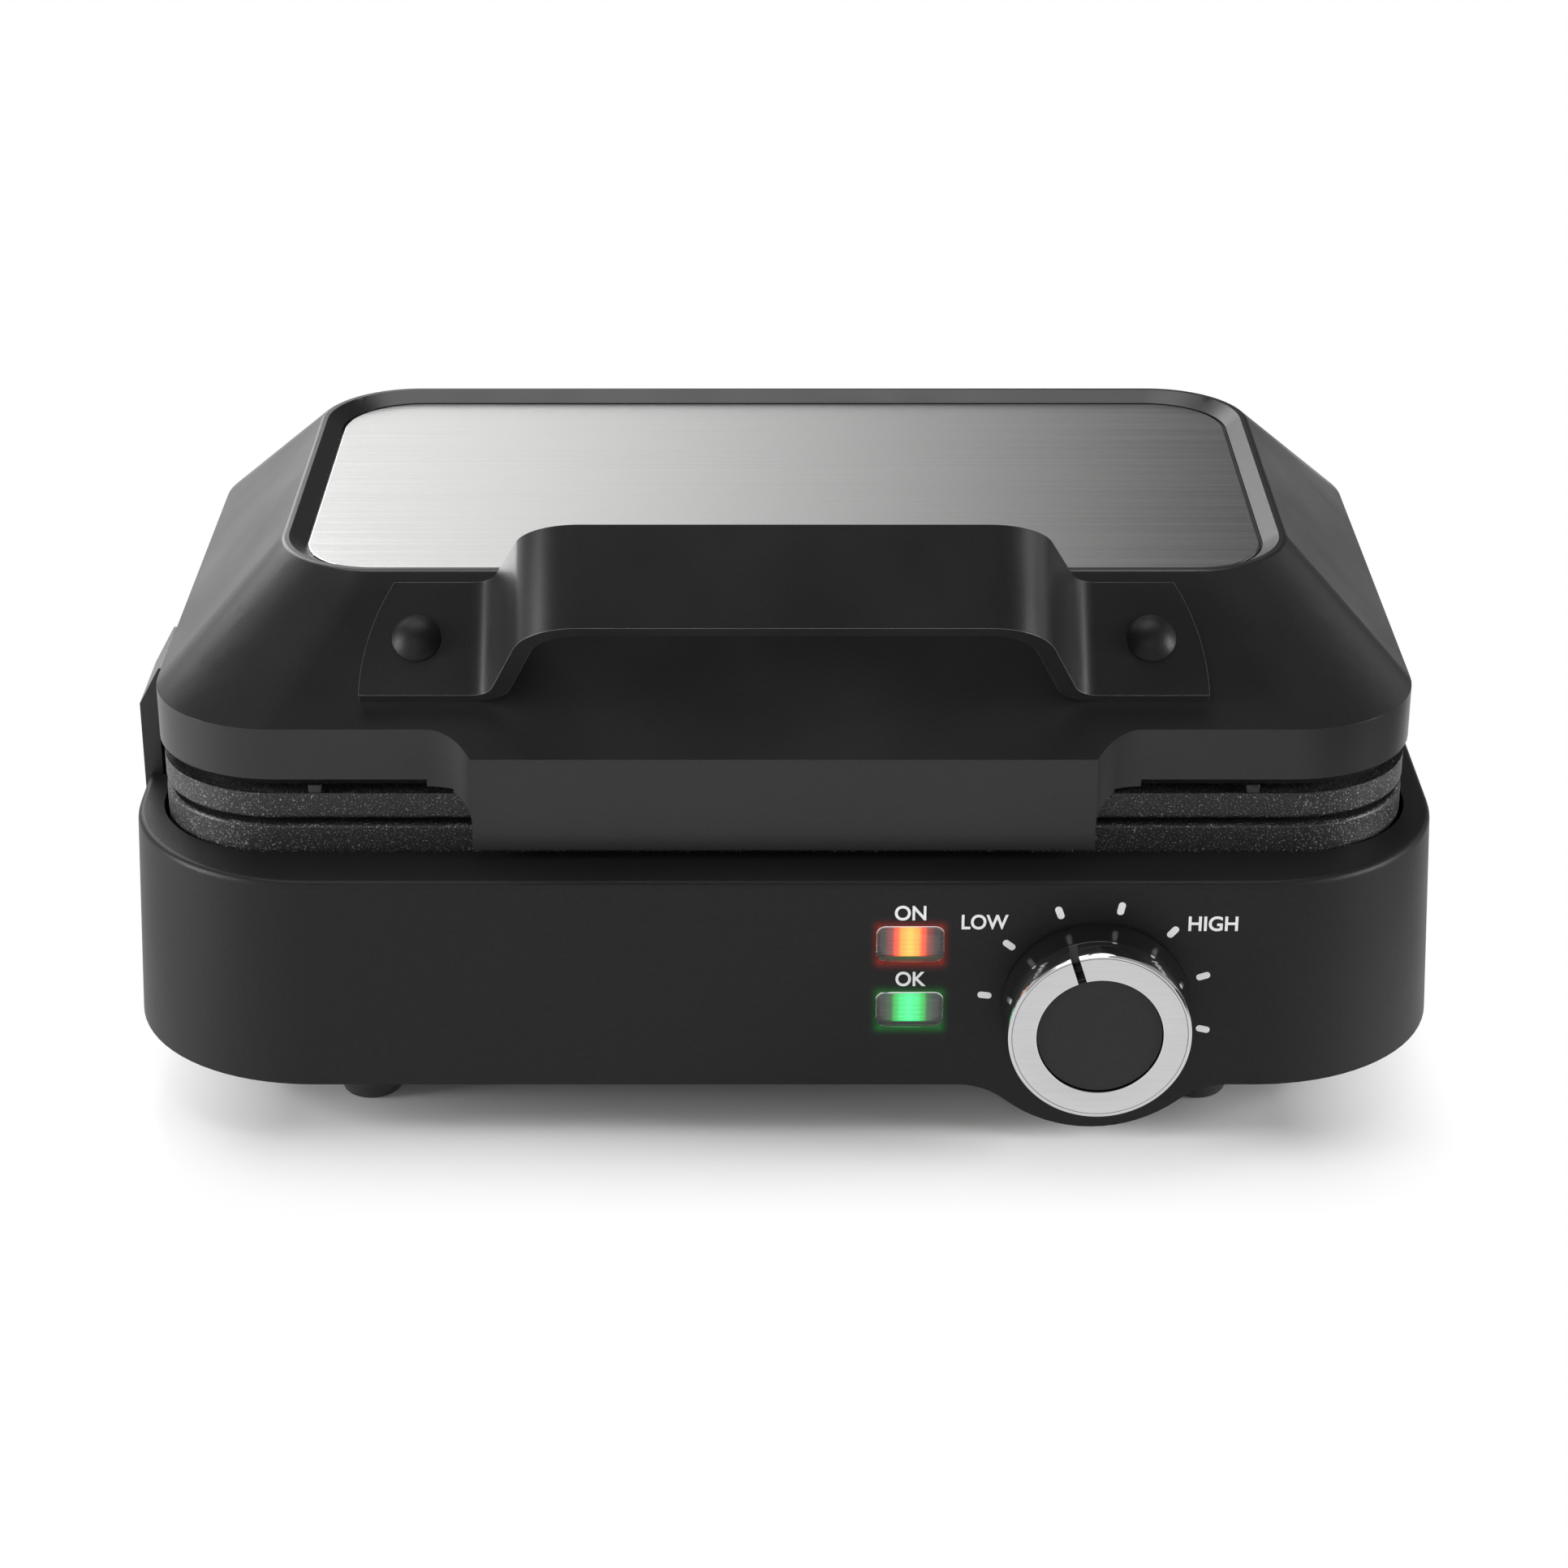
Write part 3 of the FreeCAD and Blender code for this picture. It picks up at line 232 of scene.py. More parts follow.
bpy.ops.mesh.primitive_plane_add(size=TABLE_SIZE, location=(0, 0, 0))
table = bpy.context.object
table.name = "white_table"
table_finish, tree, shader, place = start_finish("white_table_top")
shader.inputs["Base Color"].default_value = TABLE_WHITE
shader.inputs["Roughness"].default_value = 0.22
shader.inputs["Specular IOR Level"].default_value = 0.35
fade = remap(tree, outside_box(tree, place, (0, 0, 0), SHADOW_HALF), 0.0, SHADOW_FADE, 0.0, 1.0)
slanted = add_node(tree, "ShaderNodeVectorMath", operation="DOT_PRODUCT")
slanted.inputs[1].default_value = DIM_SIDE
tree.links.new(place, slanted.inputs[0])
camera_ray, seen_ray = rays(tree)
mirrored_level = remap(tree, slanted.outputs["Value"], *DIM_FADE)
white = add_node(tree, "ShaderNodeEmission")
tree.links.new(larger(tree, mirrored_level, camera_ray), white.inputs["Strength"])
blend = add_node(tree, "ShaderNodeMixShader")
tree.links.new(times(tree, fade, seen_ray), blend.inputs[0])
tree.links.new(shader.outputs["BSDF"], blend.inputs[1])
tree.links.new(white.outputs["Emission"], blend.inputs[2])
tree.links.new(blend.outputs["Shader"], tree.nodes["Material Output"].inputs["Surface"])
table.data.materials.append(table_finish)
print("table", table.name)

# %% Sky
# Each value is a span of a direction's X, Y or Z, then the brightness at the two ends of that span.
FACING_Y = (-0.30, -0.10, 1.0, 0.0)
FACING_Z = (0.42, 0.72, 0.45, 0.05)
BEHIND_Y = (-0.10, 0.40, 0.06, 1.0)
RIGHT_X = (-0.09, 0.12, 1.15, 0.10)
FAR_RIGHT_X = (0.54, 0.66, 0.0, 0.6)
FAR_LEFT_X = (-0.70, -0.45, 0.15, 1.0)
ABOVE_Z = (0.42, 0.70, 1.0, 0.14)
SKY_LIGHT = 0.45

sky = bpy.data.worlds.new("white_studio")
sky.use_nodes = True
bpy.context.scene.world = sky
tree = sky.node_tree
place = add_node(tree, "ShaderNodeTexCoord").outputs["Generated"]
apart = add_node(tree, "ShaderNodeSeparateXYZ")
tree.links.new(place, apart.inputs["Vector"])
x, y, z = (apart.outputs[axis] for axis in "XYZ")
front = times(tree, remap(tree, y, *FACING_Y), remap(tree, z, *FACING_Z))
sides = larger(tree, remap(tree, x, *RIGHT_X), remap(tree, x, *FAR_RIGHT_X))
back = times(tree, remap(tree, y, *BEHIND_Y), sides, remap(tree, x, *FAR_LEFT_X), remap(tree, z, *ABOVE_Z))
camera_ray, seen_ray = rays(tree)
lit = times(tree, larger(tree, back, front), remap(tree, seen_ray, 0.0, 1.0, SKY_LIGHT, 1.0))
tree.links.new(larger(tree, lit, camera_ray), tree.nodes["Background"].inputs["Strength"])
tree.nodes["Background"].inputs["Color"].default_value = (1, 1, 1, 1)
print("sky", sky.name)


# %% [markdown]
# ## Lamps
# A big soft lamp stands high on the left behind the appliance and makes the bright lines on the left
# slope and the upper edges. A wide lamp overhead lights the table, a weak one in front opens the shadows,
# and an upright strip on each side draws the sheen round the corners of the base.

# %% Lamps
def soft_lamp(name, place, aim, width, depth, watts):
    bpy.ops.object.light_add(type="AREA", location=place)
    lamp = bpy.context.object
    lamp.name = name
    lamp.data.shape = "RECTANGLE"
    lamp.data.size = width
    lamp.data.size_y = depth
    lamp.data.energy = watts
    lamp.rotation_euler = (Vector(aim) - Vector(place)).to_track_quat("-Z", "Y").to_euler()


BASE_MIDDLE = (0, 0, 0.05)
LID_MIDDLE = (0, 0, 0.08)
soft_lamp("left_softbox", (-0.8, 1.25, 0.9), LID_MIDDLE, width=0.9, depth=0.7, watts=11)
soft_lamp("overhead_softbox", (-0.1, 0.25, 1.5), (0, 0, 0), width=1.1, depth=0.8, watts=11)
soft_lamp("front_fill", (-0.2, -1.5, 0.8), BASE_MIDDLE, width=1.0, depth=0.6, watts=3.5)
soft_lamp("left_strip", (-1.1, -0.30, 0.28), BASE_MIDDLE, width=0.3, depth=0.6, watts=16)
soft_lamp("right_strip", (1.1, -0.30, 0.28), BASE_MIDDLE, width=0.3, depth=0.6, watts=14)
print("five lamps")


# %% [markdown]
# ## Moulded plastic
# The housings are charcoal plastic from a spark-eroded mould: a fine even grain that breaks up the
# reflections, with a slightly uneven sheen. Two noises do it, one for the grain and one for the sheen.

# %% Moulded plastic
GRAIN_SCALE = 2600
GRAIN_DEPTH = 0.00012
SHEEN_SCALE = 35
SHEEN_SPREAD = 0.04


def moulded_plastic(name, dark, light, sheen, grain, gloss):
    finish, tree, shader, place = start_finish(name)
    fine = noise(tree, place, GRAIN_SCALE, 3)
    broad = noise(tree, place, SHEEN_SCALE)
    tree.links.new(blend_colours(tree, fine, dark, light), shader.inputs["Base Color"])
    rough = remap(tree, broad, 0.3, 0.7, sheen - SHEEN_SPREAD, sheen + SHEEN_SPREAD)
    tree.links.new(rough, shader.inputs["Roughness"])
    shader.inputs["Specular IOR Level"].default_value = gloss
    emboss(tree, shader, fine, grain, GRAIN_DEPTH)
    return finish


CHARCOAL = dict(dark=(0.005, 0.005, 0.0052), light=(0.015, 0.015, 0.0155), sheen=0.46, grain=0.35, gloss=0.19)
base_plastic = moulded_plastic("charcoal_moulded_plastic", **CHARCOAL)
panel_plastic = moulded_plastic("front_panel_plastic", **CHARCOAL)
lid_plastic = moulded_plastic("black_lid_plastic", dark=(0.006, 0.006, 0.0062), light=(0.017, 0.017, 0.0174),
                              sheen=0.33, grain=0.14, gloss=0.42)
cap_plastic = moulded_plastic("matt_cap_plastic", dark=(0.007, 0.007, 0.007), light=(0.020, 0.020, 0.020),
                              sheen=0.50, grain=0.40, gloss=0.3)
# The handle's roll gets a plastic ten times lighter than the lid: a painted highlight along its edges.
painted_highlight_plastic = moulded_plastic("painted_edge_highlight_plastic", dark=(0.15, 0.15, 0.152), light=(0.19, 0.19, 0.192),
                               sheen=0.34, grain=0.05, gloss=0.5)
print("plastics", base_plastic.name, lid_plastic.name, panel_plastic.name)


# %% [markdown]
# ## Light spilled on the panel
# A lit window throws a thin coloured halo on the plastic around it. A lamp behind the window would need many
# samples for it, so the panel's own finish glows a little, less and less with the distance from the window.

# %% Light spilled on the panel
SPILL_HALF = (0.0064, 0.006, 0.0041)
SPILL_REACH = 0.0030


def spill_light(finish, colour, window, strength):
    tree = finish.node_tree
    place = add_node(tree, "ShaderNodeTexCoord").outputs["Object"]
    away = outside_box(tree, place, (window.x, PANEL_FRONT, window.z), SPILL_HALF)
    near = remap(tree, away, 0.0, SPILL_REACH, 1.0, 0.0)
    tint = add_node(tree, "ShaderNodeEmission", Color=(*colour, 1))
    level = remap(tree, times(tree, near, near, near), 0.0, 1.0, 0.0, strength)
    tree.links.new(level, tint.inputs["Strength"])
    output = tree.nodes["Material Output"]
    total = add_node(tree, "ShaderNodeAddShader")
    tree.links.new(output.inputs["Surface"].links[0].from_socket, total.inputs[0])
    tree.links.new(tint.outputs["Emission"], total.inputs[1])
    tree.links.new(total.outputs["Shader"], output.inputs["Surface"])


spill_light(panel_plastic, (1.0, 0.05, 0.01), POWER_WINDOW, 0.22)
spill_light(panel_plastic, (0.02, 0.9, 0.10), READY_WINDOW, 0.13)
print("halos on", panel_plastic.name)


# %% [markdown]
# ## Brushed steel
# The lid carries a sheet of steel brushed from side to side. Long thin scratches come from a noise that is
# stretched a hundred times or more along X, and they spread each reflection across the brush direction.

# %% Brushed steel
SCRATCH_DEPTH = 0.00008
VALLEY_SHADE = 0.72


def brushed(name, colour, along, across, rough, depth):
    finish, tree, shader, place = start_finish(name)
    hair = noise(tree, stretched(tree, place, (along, across, across)), 1.0, 6, 0.75)
    valley = tuple(channel * VALLEY_SHADE for channel in colour)
    tree.links.new(blend_colours(tree, hair, valley, colour), shader.inputs["Base Color"])
    tree.links.new(remap(tree, hair, 0.25, 0.75, rough - 0.06, rough + 0.08), shader.inputs["Roughness"])
    shader.inputs["Metallic"].default_value = 1.0
    emboss(tree, shader, hair, depth, SCRATCH_DEPTH)
    return finish


steel = brushed("brushed_steel_sheet", (0.74, 0.735, 0.73), along=7, across=1000, rough=0.19, depth=0.40)
satin = brushed("satin_ring_face", (0.70, 0.70, 0.71), along=120, across=2600, rough=0.42, depth=0.12)
sheet_metal = brushed("plain_reflector_sheet", (0.70, 0.70, 0.70), along=40, across=600, rough=0.36,
                      depth=0.1)
print("metals", steel.name, satin.name, sheet_metal.name)


# %% [markdown]
# ## Non-stick coating
# The plates are cast and sprayed with a stone-look coating: nearly black with dense pale specks that are
# finer than a grain of salt. Two noises with a sharp threshold give specks of two sizes.

# %% Non-stick coating
FINE_SPECKS = 2500
COARSE_SPECKS = 1500
COATING_BLACK = (0.005, 0.005, 0.0053)
SPECK_GREY = (0.30, 0.30, 0.30)


def speckled_coating():
    finish, tree, shader, place = start_finish("speckled_nonstick")
    fine = noise(tree, place, FINE_SPECKS, 2, 0.7)
    coarse = noise(tree, place, COARSE_SPECKS, 2, 0.6)
    specks = larger(tree, remap(tree, fine, 0.58, 0.72, 0.0, 1.0), remap(tree, coarse, 0.64, 0.74, 0.0, 0.8))
    tree.links.new(blend_colours(tree, specks, COATING_BLACK, SPECK_GREY), shader.inputs["Base Color"])
    tree.links.new(remap(tree, coarse, 0.3, 0.7, 0.42, 0.58), shader.inputs["Roughness"])
    emboss(tree, shader, fine, 0.3, 0.0001)
    return finish


coating = speckled_coating()
print("coating", coating.name)


# %% [markdown]
# ## Small finishes
# The rest of the pieces are glossy black, polished metal, rubber, white print, ceramic and resin board. Each
# still carries a little noise, because nothing real is perfectly even.

# %% Small finishes
def plain_finish(name, colour, rough, metal=0.0, uneven=0.05, scale=300):
    finish, tree, shader, place = start_finish(name)
    cloud = noise(tree, place, scale)
    dim = tuple(channel * (1 - 2 * uneven) for channel in colour)
    tree.links.new(blend_colours(tree, cloud, dim, colour), shader.inputs["Base Color"])
    spread = remap(tree, cloud, 0.3, 0.7, max(rough - uneven, 0.02), rough + uneven)
    tree.links.new(spread, shader.inputs["Roughness"])
    shader.inputs["Metallic"].default_value = metal
    return finish


gloss_black = plain_finish("gloss_black_plastic", (0.008, 0.008, 0.0085), 0.16)
polished = plain_finish("polished_ring_side", (0.62, 0.62, 0.63), 0.10, metal=1.0, uneven=0.03)
rubber = plain_finish("foot_rubber", (0.022, 0.022, 0.022), 0.62, uneven=0.1, scale=700)
turned_steel = plain_finish("turned_steel", (0.56, 0.56, 0.57), 0.30, metal=1.0)
tube_metal = plain_finish("heater_tube_metal", (0.30, 0.29, 0.28), 0.45, metal=1.0, uneven=0.1)
ceramic = plain_finish("white_ceramic", (0.72, 0.71, 0.68), 0.5)
resin = plain_finish("resin_board", (0.22, 0.16, 0.07), 0.5)
print_white = plain_finish("white_print", (0.86, 0.86, 0.86), 0.55, uneven=0.02, scale=2500)
print("small finishes ready")


# %% [markdown]
# ## Clear windows and lit lamps
# The windows are clear acrylic. The diffuser behind each one glows in the middle and is dark at its ends, so
# its light follows a colour ramp on the distance from the middle of the window.

# %% Clear windows and lit lamps
ACRYLIC_IOR = 1.49
GLOW_HALF_WIDTH = 0.0057
# Each stop is a share of that half width, then a colour.
AMBER_STOPS = ((0, (1.0, 0.52, 0.06)), (0.28, (1.0, 0.36, 0.03)), (0.50, (1.0, 0.06, 0.01)),
               (0.70, (0.20, 0.012, 0.004)))
GREEN_STOPS = ((0, (0.06, 0.95, 0.34)), (0.30, (0.03, 0.85, 0.22)), (0.52, (0.01, 0.55, 0.06)),
               (0.70, (0.005, 0.08, 0.010)))


def clear_lens():
    finish, tree, shader, place = start_finish("clear_lamp_lens")
    shader.inputs["Base Color"].default_value = (0.93, 0.94, 0.94, 1)
    shader.inputs["Transmission Weight"].default_value = 1.0
    shader.inputs["IOR"].default_value = ACRYLIC_IOR
    tree.links.new(remap(tree, noise(tree, place, 500), 0.3, 0.7, 0.02, 0.07), shader.inputs["Roughness"])
    return finish


def glowing(name, stops, level):
    finish, tree, shader, place = start_finish(name)
    side = add_node(tree, "ShaderNodeSeparateXYZ")
    tree.links.new(place, side.inputs["Vector"])
    offset = add_node(tree, "ShaderNodeMath", operation="SUBTRACT")
    offset.inputs[1].default_value = POWER_WINDOW.x
    tree.links.new(side.outputs["X"], offset.inputs[0])
    away = add_node(tree, "ShaderNodeMath", operation="ABSOLUTE")
    tree.links.new(offset.outputs["Value"], away.inputs[0])
    ramp = add_node(tree, "ShaderNodeValToRGB")
    ramp.color_ramp.interpolation = "EASE"
    ramp.color_ramp.elements[0].color = (*stops[0][1], 1)
    ramp.color_ramp.elements[1].color = (0, 0, 0, 1)
    for position, colour in stops[1:]:
        ramp.color_ramp.elements.new(position).color = (*colour, 1)
    share = remap(tree, away.outputs["Value"], 0.0, GLOW_HALF_WIDTH, 0.0, 1.0)
    tree.links.new(share, ramp.inputs["Fac"])
    tree.links.new(ramp.outputs["Color"], shader.inputs["Emission Color"])
    shader.inputs["Emission Strength"].default_value = level
    shader.inputs["Base Color"].default_value = (0.10, 0.10, 0.10, 1)
    shader.inputs["Roughness"].default_value = 0.25
    return finish


lens_clear = clear_lens()
amber_glow = glowing("amber_lamp_glow", AMBER_STOPS, 1.25)
green_glow = glowing("green_lamp_glow", GREEN_STOPS, 1.05)
print("lamp finishes", lens_clear.name, amber_glow.name, green_glow.name)


# %% [markdown]
# ## Selecting and placing
# Edit-mode tools act on what is selected, so a small helper selects the vertices or faces that pass a test.
# Another applies a piece's place, turn and size to its mesh, which leaves the object at the origin.

# %% Selecting and placing
def choose(piece, mode, test):
    bpy.ops.object.mode_set(mode="EDIT")
    bpy.ops.mesh.select_mode(type=mode)
    bpy.ops.mesh.select_all(action="DESELECT")
    bpy.ops.object.mode_set(mode="OBJECT")
    parts = piece.data.vertices if mode == "VERT" else piece.data.polygons
    for part in parts:
        part.select = test(part.co if mode == "VERT" else part)
    bpy.ops.object.mode_set(mode="EDIT")


def settle():
    bpy.ops.object.mode_set(mode="OBJECT")
    bpy.ops.object.transform_apply(location=True, rotation=True, scale=True)


print("selection helpers ready")

# %% [markdown]
# ## Rolled edges
# A moulded or pressed edge is never knife sharp: its small radius catches the light as a bright line.
# Each visible solid is copied, its loose triangles are welded and flat areas joined, and a narrow bevel
# rolls every sharp edge. The copy then stands in for the solid. A few flat solids get no roll, and the
# handle's roll also carries a painted highlight.

# %% Rolled edges
WELD = 0.000002
FLAT_ANGLE = math.radians(0.4)
SHARP_ANGLE = math.radians(32)
ROLL_SEGMENTS = 2


def welded_copy(node, finishes):
    piece = bpy.data.objects.new(f"{node}_finished", frame["nodes"][node].data.copy())
    bpy.context.collection.objects.link(piece)
    bpy.ops.object.select_all(action="DESELECT")
    piece.select_set(True)
    bpy.context.view_layer.objects.active = piece
    if piece.data.has_custom_normals:
        bpy.ops.mesh.customdata_custom_splitnormals_clear()
    bpy.ops.object.mode_set(mode="EDIT")
    bpy.ops.mesh.select_all(action="SELECT")
    bpy.ops.mesh.remove_doubles(threshold=WELD)
    bpy.ops.mesh.dissolve_limited(angle_limit=FLAT_ANGLE)
    bpy.ops.object.mode_set(mode="OBJECT")
    piece.data.materials.clear()
    for finish in finishes:
        piece.data.materials.append(finish)
    return piece


def rolled_copy(node, finish, roll, edge=None):
    source = frame["nodes"][node]
    piece = welded_copy(node, [finish, edge] if edge else [finish])
    if roll:
        bevel = piece.modifiers.new("roll", "BEVEL")
        # With a second finish given, the roll faces take it: on the handle that is a painted edge highlight.
        bevel.material = 1 if edge else -1
        bevel.width = roll
        bevel.segments = ROLL_SEGMENTS
        bevel.limit_method = "ANGLE"
        bevel.angle_limit = SHARP_ANGLE
        bevel.miter_outer = "MITER_ARC"
        bpy.ops.object.modifier_apply(modifier=bevel.name)
    bpy.ops.object.shade_smooth_by_angle(angle=SHARP_ANGLE)
    weight = piece.modifiers.new("even_normals", "WEIGHTED_NORMAL")
    weight.keep_sharp = True
    bpy.ops.object.modifier_apply(modifier=weight.name)
    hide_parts(node)
    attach(piece, source["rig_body"])
    return piece


# %% Rolled shells
# Each solid has its finish and the width of its roll, and the handle a much lighter finish on the roll
# itself: a painted highlight along its edges.
shells = {
    "base_housing": (panel_plastic, 0.0006),
    "lid_housing": (lid_plastic, 0.0006),
    "handle": (lid_plastic, 0.0005, painted_highlight_plastic),
    "handle_rivet_left": (base_plastic, 0.0003),
    "handle_rivet_right": (base_plastic, 0.0003),
    "lower_waffle_plate": (coating, 0.0006),
    "upper_waffle_plate": (coating, 0.0006),
    "steel_panel": (steel, 0.0),
    "side_latch": (lid_plastic, 0.0006),
    "bottom_cover": (base_plastic, 0.0),
    "knob_body": (gloss_black, 0.0004),
    "knob_cap": (cap_plastic, 0.0003),
    "hinge_bracket_left": (base_plastic, 0.0005),
    "hinge_bracket_right": (base_plastic, 0.0005),
    "hinge_arm_left": (lid_plastic, 0.0005),
    "hinge_arm_right": (lid_plastic, 0.0005),
    "cord_gland": (base_plastic, 0.0005),
    "foot_front_left": (rubber, 0.0008),
    "foot_front_right": (rubber, 0.0008),
    "foot_rear_left": (rubber, 0.0008),
    "foot_rear_right": (rubber, 0.0008),
}
rolled = {node: rolled_copy(node, *settings) for node, settings in shells.items()}
print("rolled", len(rolled), "pieces", sum(len(piece.data.polygons) for piece in rolled.values()), "faces")

# %% [markdown]
# ## Inner pieces
# The heaters, reflectors, screws and the thermostat sit inside and show only through a gap or with the lid
# open. Their solids are shown as they are, with the right finish on each.

# %% Inner pieces
inner = {
    turned_steel: ("cover_screws", "thermostat_shaft", "hinge_pin_left", "hinge_pin_right", "latch_pin",
                   "thermostat", "lower_element_saddles", "upper_element_saddles"),
    tube_metal: ("lower_heating_element", "upper_heating_element"),
    sheet_metal: ("lower_reflector", "upper_reflector"),
    ceramic: ("terminal_block", "thermal_fuse"),
    resin: ("lamp_board",),
}


def finish_solid(name, finish):
    solid = frame["nodes"][name]
    solid.data.materials.clear()
    solid.data.materials.append(finish)


for finish, names in inner.items():
    for name in names:
        finish_solid(name, finish)
print("inner pieces", sum(len(names) for names in inner.values()))

# %% [markdown]
# ## Knob ring
# The knob wears a bright metal ring turned on a lathe: a polished rim, a chamfer, a fine groove, a satin
# face and a polished inner edge. A shallow cone is the blank, and a row of insets on its front turns each
# step, from the rim to the hole. A slot cut through the ring is the pointer.

# %% Turned ring
RING_SIDES = 192
RING_RADIUS = 0.0196
RING_TAPER = 0.0002
RING_BLANK = 0.0049
RING_BORE = 0.0047
BACK_BAND = 0.0012
# Each step is how far it goes in from the one before, and how far it rises.
RING_STEPS = ((0.0002, 0.0004), (0.0004, 0.0002), (0.0003, 0.0), (0.00009, -0.0002), (0.00009, 0.0002),
              (0.00472, 0.0), (0.0003, -0.0001))
FACING_FRONT = -0.99


def turned_ring():
    bpy.ops.mesh.primitive_cone_add(
        vertices=RING_SIDES, radius1=RING_RADIUS, radius2=RING_RADIUS - RING_TAPER, depth=RING_BLANK,
        location=(KNOB.x, RING_BACK - RING_BLANK / 2, KNOB.z), rotation=(math.pi / 2, 0, 0))
    ring = bpy.context.object
    ring.name = "knob_ring_turned"
    settle()
    choose(ring, "FACE", lambda face: face.normal.y < FACING_FRONT)
    for thickness, depth in RING_STEPS:
        bpy.ops.mesh.inset(thickness=thickness, depth=depth)
    bpy.ops.mesh.extrude_region_move(TRANSFORM_OT_translate={"value": (0, RING_BORE, 0)})
    bpy.ops.object.mode_set(mode="OBJECT")
    choose(ring, "FACE", lambda face: len(face.vertices) > RING_SIDES / 2)
    bpy.ops.mesh.delete(type="ONLY_FACE")
    bpy.ops.object.mode_set(mode="OBJECT")
    choose(ring, "VERT", lambda co: co.y > RING_BACK - BACK_BAND)
    bpy.ops.mesh.select_mode(type="EDGE")
    bpy.ops.mesh.bridge_edge_loops()
    bpy.ops.mesh.select_all(action="SELECT")
    bpy.ops.mesh.normals_make_consistent(inside=False)
    bpy.ops.object.mode_set(mode="OBJECT")
    return ring


ring = turned_ring()
print("ring blank", len(ring.data.polygons), "faces")

# %% Pointer and ring finishes
POINTER_TURN = math.radians(17.7)
POINTER_REACH = 0.0165
POINTER_SIZE = (0.0018, 0.010, 0.012)
POINTER_Y = -0.110
SATIN_FROM, SATIN_TO = 0.0139, 0.0182
RING_SMOOTH = math.radians(25)


def cut_pointer(ring):
    place = (KNOB.x - POINTER_REACH * math.sin(POINTER_TURN), POINTER_Y,
             KNOB.z + POINTER_REACH * math.cos(POINTER_TURN))
    bpy.ops.mesh.primitive_cube_add(size=1, location=place, rotation=(0, -POINTER_TURN, 0))
    tool = bpy.context.object
    tool.scale = POINTER_SIZE
    settle()
    bpy.context.view_layer.objects.active = ring
    cut = ring.modifiers.new("pointer", "BOOLEAN")
    cut.object = tool
    cut.solver = "EXACT"
    bpy.ops.object.modifier_apply(modifier=cut.name)
    bpy.data.objects.remove(tool)


cut_pointer(ring)
ring.select_set(True)
bpy.ops.object.shade_smooth_by_angle(angle=RING_SMOOTH)
ring.data.materials.clear()
ring.data.materials.append(polished)
ring.data.materials.append(satin)
for face in ring.data.polygons:
    radius = math.hypot(face.center.x - KNOB.x, face.center.z - KNOB.z)
    if face.normal.y < FACING_FRONT and SATIN_FROM < radius < SATIN_TO:
        face.material_index = 1
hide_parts("knob_ring")
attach(ring, "knob")
print("ring faces", len(ring.data.polygons))

# %% [markdown]
# ## Lamps in the panel
# Two lamps glow behind clear windows: amber for power and green for ready. Each window is a clear cover with
# a rolled edge, and behind it stands a diffuser with horizontal ribs that glows in the middle. The ribs
# are every second row of a grid, pulled forward.

# %% Panel lamps
COVER_ROLL = 0.0007
COVER_MIDDLE_Y = -0.095
COVER_BACK_Y = -0.0972
DIFFUSER_Y = -0.0962
DIFFUSER_SIZE = (0.0136, 0.0078, 1)
DIFFUSER_DEPTH = 0.0012
RIB_ROWS = 14
RIB_RISE = 0.0005


def lamp_cover(node):
    cover = rolled_copy(node, lens_clear, COVER_ROLL)
    choose(cover, "VERT", lambda co: co.y > COVER_MIDDLE_Y)
    bpy.ops.transform.resize(value=(1, 0, 1), center_override=(0, COVER_BACK_Y, 0))
    bpy.ops.object.mode_set(mode="OBJECT")


def ribbed_diffuser(name, window, glow):
    bpy.ops.mesh.primitive_grid_add(x_subdivisions=1, y_subdivisions=RIB_ROWS, size=1,
                                    location=(window.x, DIFFUSER_Y, window.z), rotation=(math.pi / 2, 0, 0))
    plate = bpy.context.object
    plate.name = name
    plate.scale = DIFFUSER_SIZE
    settle()
    rows = sorted({round(vertex.co.z, 6) for vertex in plate.data.vertices})
    choose(plate, "VERT", lambda co: rows.index(round(co.z, 6)) % 2 == 1)
    bpy.ops.transform.translate(value=(0, -RIB_RISE, 0))
    bpy.ops.object.mode_set(mode="OBJECT")
    back = plate.modifiers.new("back", "SOLIDIFY")
    back.thickness = DIFFUSER_DEPTH
    back.offset = -1
    bpy.ops.object.modifier_apply(modifier=back.name)
    plate.data.materials.append(glow)
    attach(plate, "base")


panel_lamps = (("power", POWER_WINDOW, amber_glow, "amber_lamp"),
               ("ready", READY_WINDOW, green_glow, "green_lamp"))
for lamp, window, glow, slot in panel_lamps:
    finish_solid(f"{lamp}_lamp_bulb", glow)
    lamp_cover(f"{lamp}_lamp_lens")
    ribbed_diffuser(f"{lamp}_lamp_diffuser", window, glow)
print("panel lamps", len(panel_lamps))

# %% [markdown]
# ## Browning marks
# Seven short marks with round ends stand round the knob. They are printed, so each is a thin plate: a small
# plane with its corners rounded by a vertex bevel and then thickened by a few hundredths of a millimetre.

# %% Browning marks
PRINT_DEPTH = 0.00004
MARK_REACH = 0.0237
MARK_SIZE = (0.0015, 0.0030, 1)
MARK_CORNER = 0.00072
MARK_TURNS = (-83.4, -51.8, -20.2, 11.4, 41.6, 72.2, 103.3)


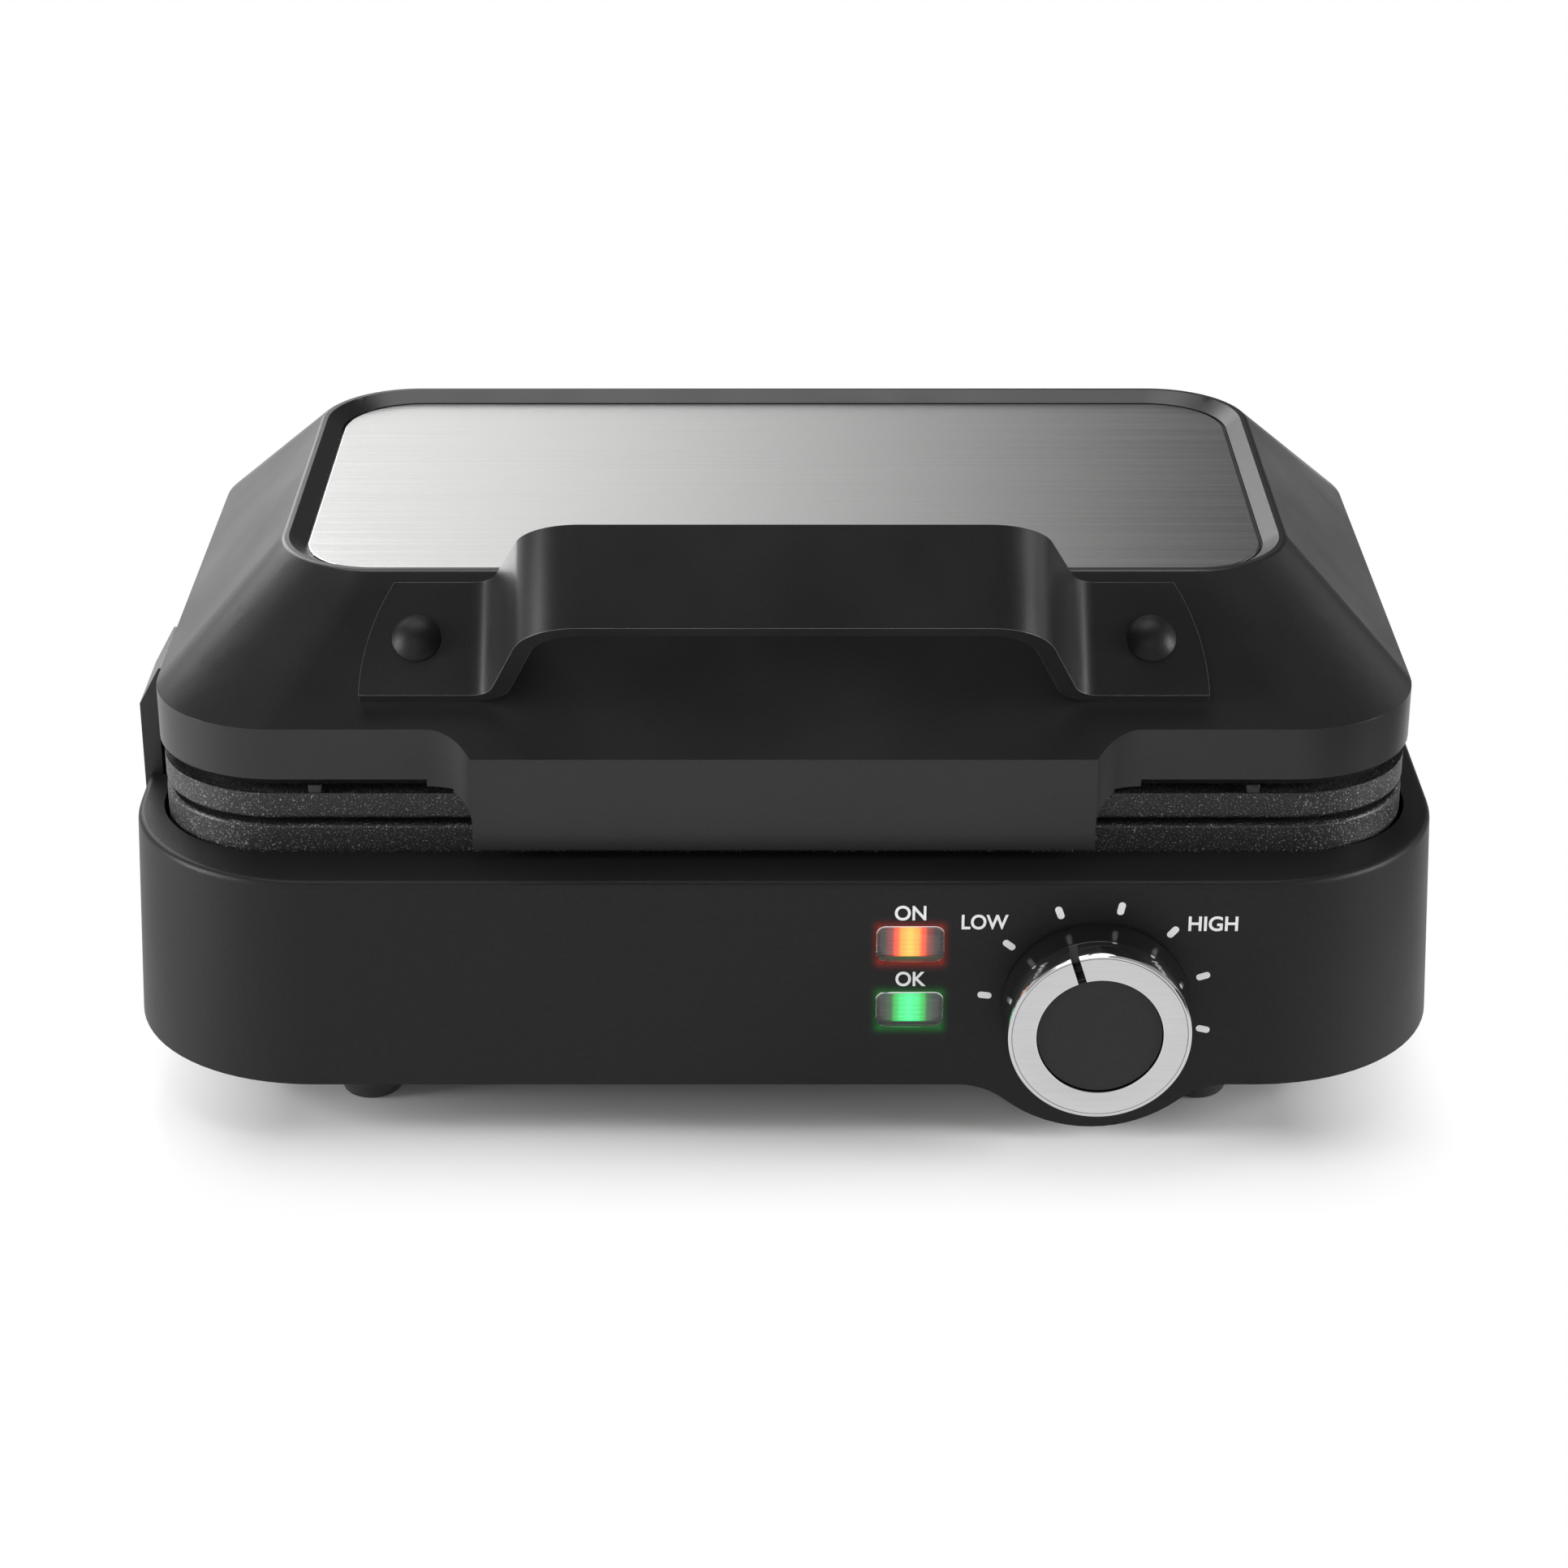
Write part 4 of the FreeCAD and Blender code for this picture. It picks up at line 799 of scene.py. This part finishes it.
def printed_mark(name, turn):
    angle = math.radians(turn)
    place = (KNOB.x + MARK_REACH * math.sin(angle), PANEL_FRONT, KNOB.z + MARK_REACH * math.cos(angle))
    bpy.ops.mesh.primitive_plane_add(size=1, location=place, rotation=(math.pi / 2, angle, 0))
    mark = bpy.context.object
    mark.name = name
    mark.scale = MARK_SIZE
    settle()
    bpy.ops.object.mode_set(mode="EDIT")
    bpy.ops.mesh.select_all(action="SELECT")
    bpy.ops.mesh.bevel(affect="VERTICES", offset=MARK_CORNER, segments=6)
    bpy.ops.mesh.extrude_region_move(TRANSFORM_OT_translate={"value": (0, -PRINT_DEPTH, 0)})
    bpy.ops.object.mode_set(mode="OBJECT")
    mark.data.materials.append(print_white)
    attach(mark, "base")


for number, turn in enumerate(MARK_TURNS, 1):
    printed_mark(f"browning_mark_{number}", turn)
print("marks", len(MARK_TURNS))

# %% [markdown]
# ## Panel words
# Plain words tell what the lamps and the ends of the knob's turn mean. Text is set at its height, made into
# a mesh, stood upright against the panel and brought to its width.

# %% Panel words
LETTER_SIZE = 0.0047
LETTER_WEIGHT = 0.00009
LETTER_DEPTH = 0.00003
# Each word has its piece name, its letters, its middle in X and Z, and its width.
WORDS = (("power_word", "ON", 0.0266, 0.0548, 0.0066), ("ready_word", "OK", 0.0266, 0.0392, 0.0064),
         ("low_word", "LOW", 0.0420, 0.0527, 0.0098), ("high_word", "HIGH", 0.0901, 0.0523, 0.0104))


def printed_word(name, letters, x, z, width):
    bpy.ops.object.text_add(location=(x, PANEL_FRONT - PRINT_DEPTH, z), rotation=(math.pi / 2, 0, 0))
    text = bpy.context.object
    text.name = name
    text.data.body = letters
    text.data.align_x = "CENTER"
    text.data.align_y = "CENTER"
    text.data.size = LETTER_SIZE
    text.data.offset = LETTER_WEIGHT
    text.data.extrude = LETTER_DEPTH
    bpy.ops.object.convert(target="MESH")
    piece = bpy.context.object
    piece.scale.x = width / piece.dimensions.x
    settle()
    piece.data.materials.clear()
    piece.data.materials.append(print_white)
    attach(piece, "base")


for word in WORDS:
    printed_word(*word)
print("words", len(WORDS))

# %% [markdown]
# ## Spacer tabs
# Two tiny tabs under the front of the lid skirt keep it off the upper plate. Each is a small block with
# rounded edges.

# %% Spacer tabs
TAB_SIDE = 0.099
TAB_Y, TAB_Z = -0.0817, 0.0763
TAB_SIZE = (0.0028, 0.0034, 0.0020)
TAB_ROLL = 0.0003


def spacer_tab(name, x):
    bpy.ops.mesh.primitive_cube_add(size=1, location=(x, TAB_Y, TAB_Z))
    tab = bpy.context.object
    tab.name = name
    tab.scale = TAB_SIZE
    settle()
    bpy.ops.object.mode_set(mode="EDIT")
    bpy.ops.mesh.select_all(action="SELECT")
    bpy.ops.mesh.bevel(offset=TAB_ROLL, segments=3)
    bpy.ops.object.mode_set(mode="OBJECT")
    bpy.ops.object.shade_smooth_by_angle(angle=SHARP_ANGLE)
    tab.data.materials.append(lid_plastic)
    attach(tab, "lid")


spacer_tab("spacer_tab_left", -TAB_SIDE)
spacer_tab("spacer_tab_right", TAB_SIDE)
print("two spacer tabs")

# %% [markdown]
# ## Last update
# The view layer is brought up to date once every piece is in place.

# %% Last update
bpy.context.view_layer.update()
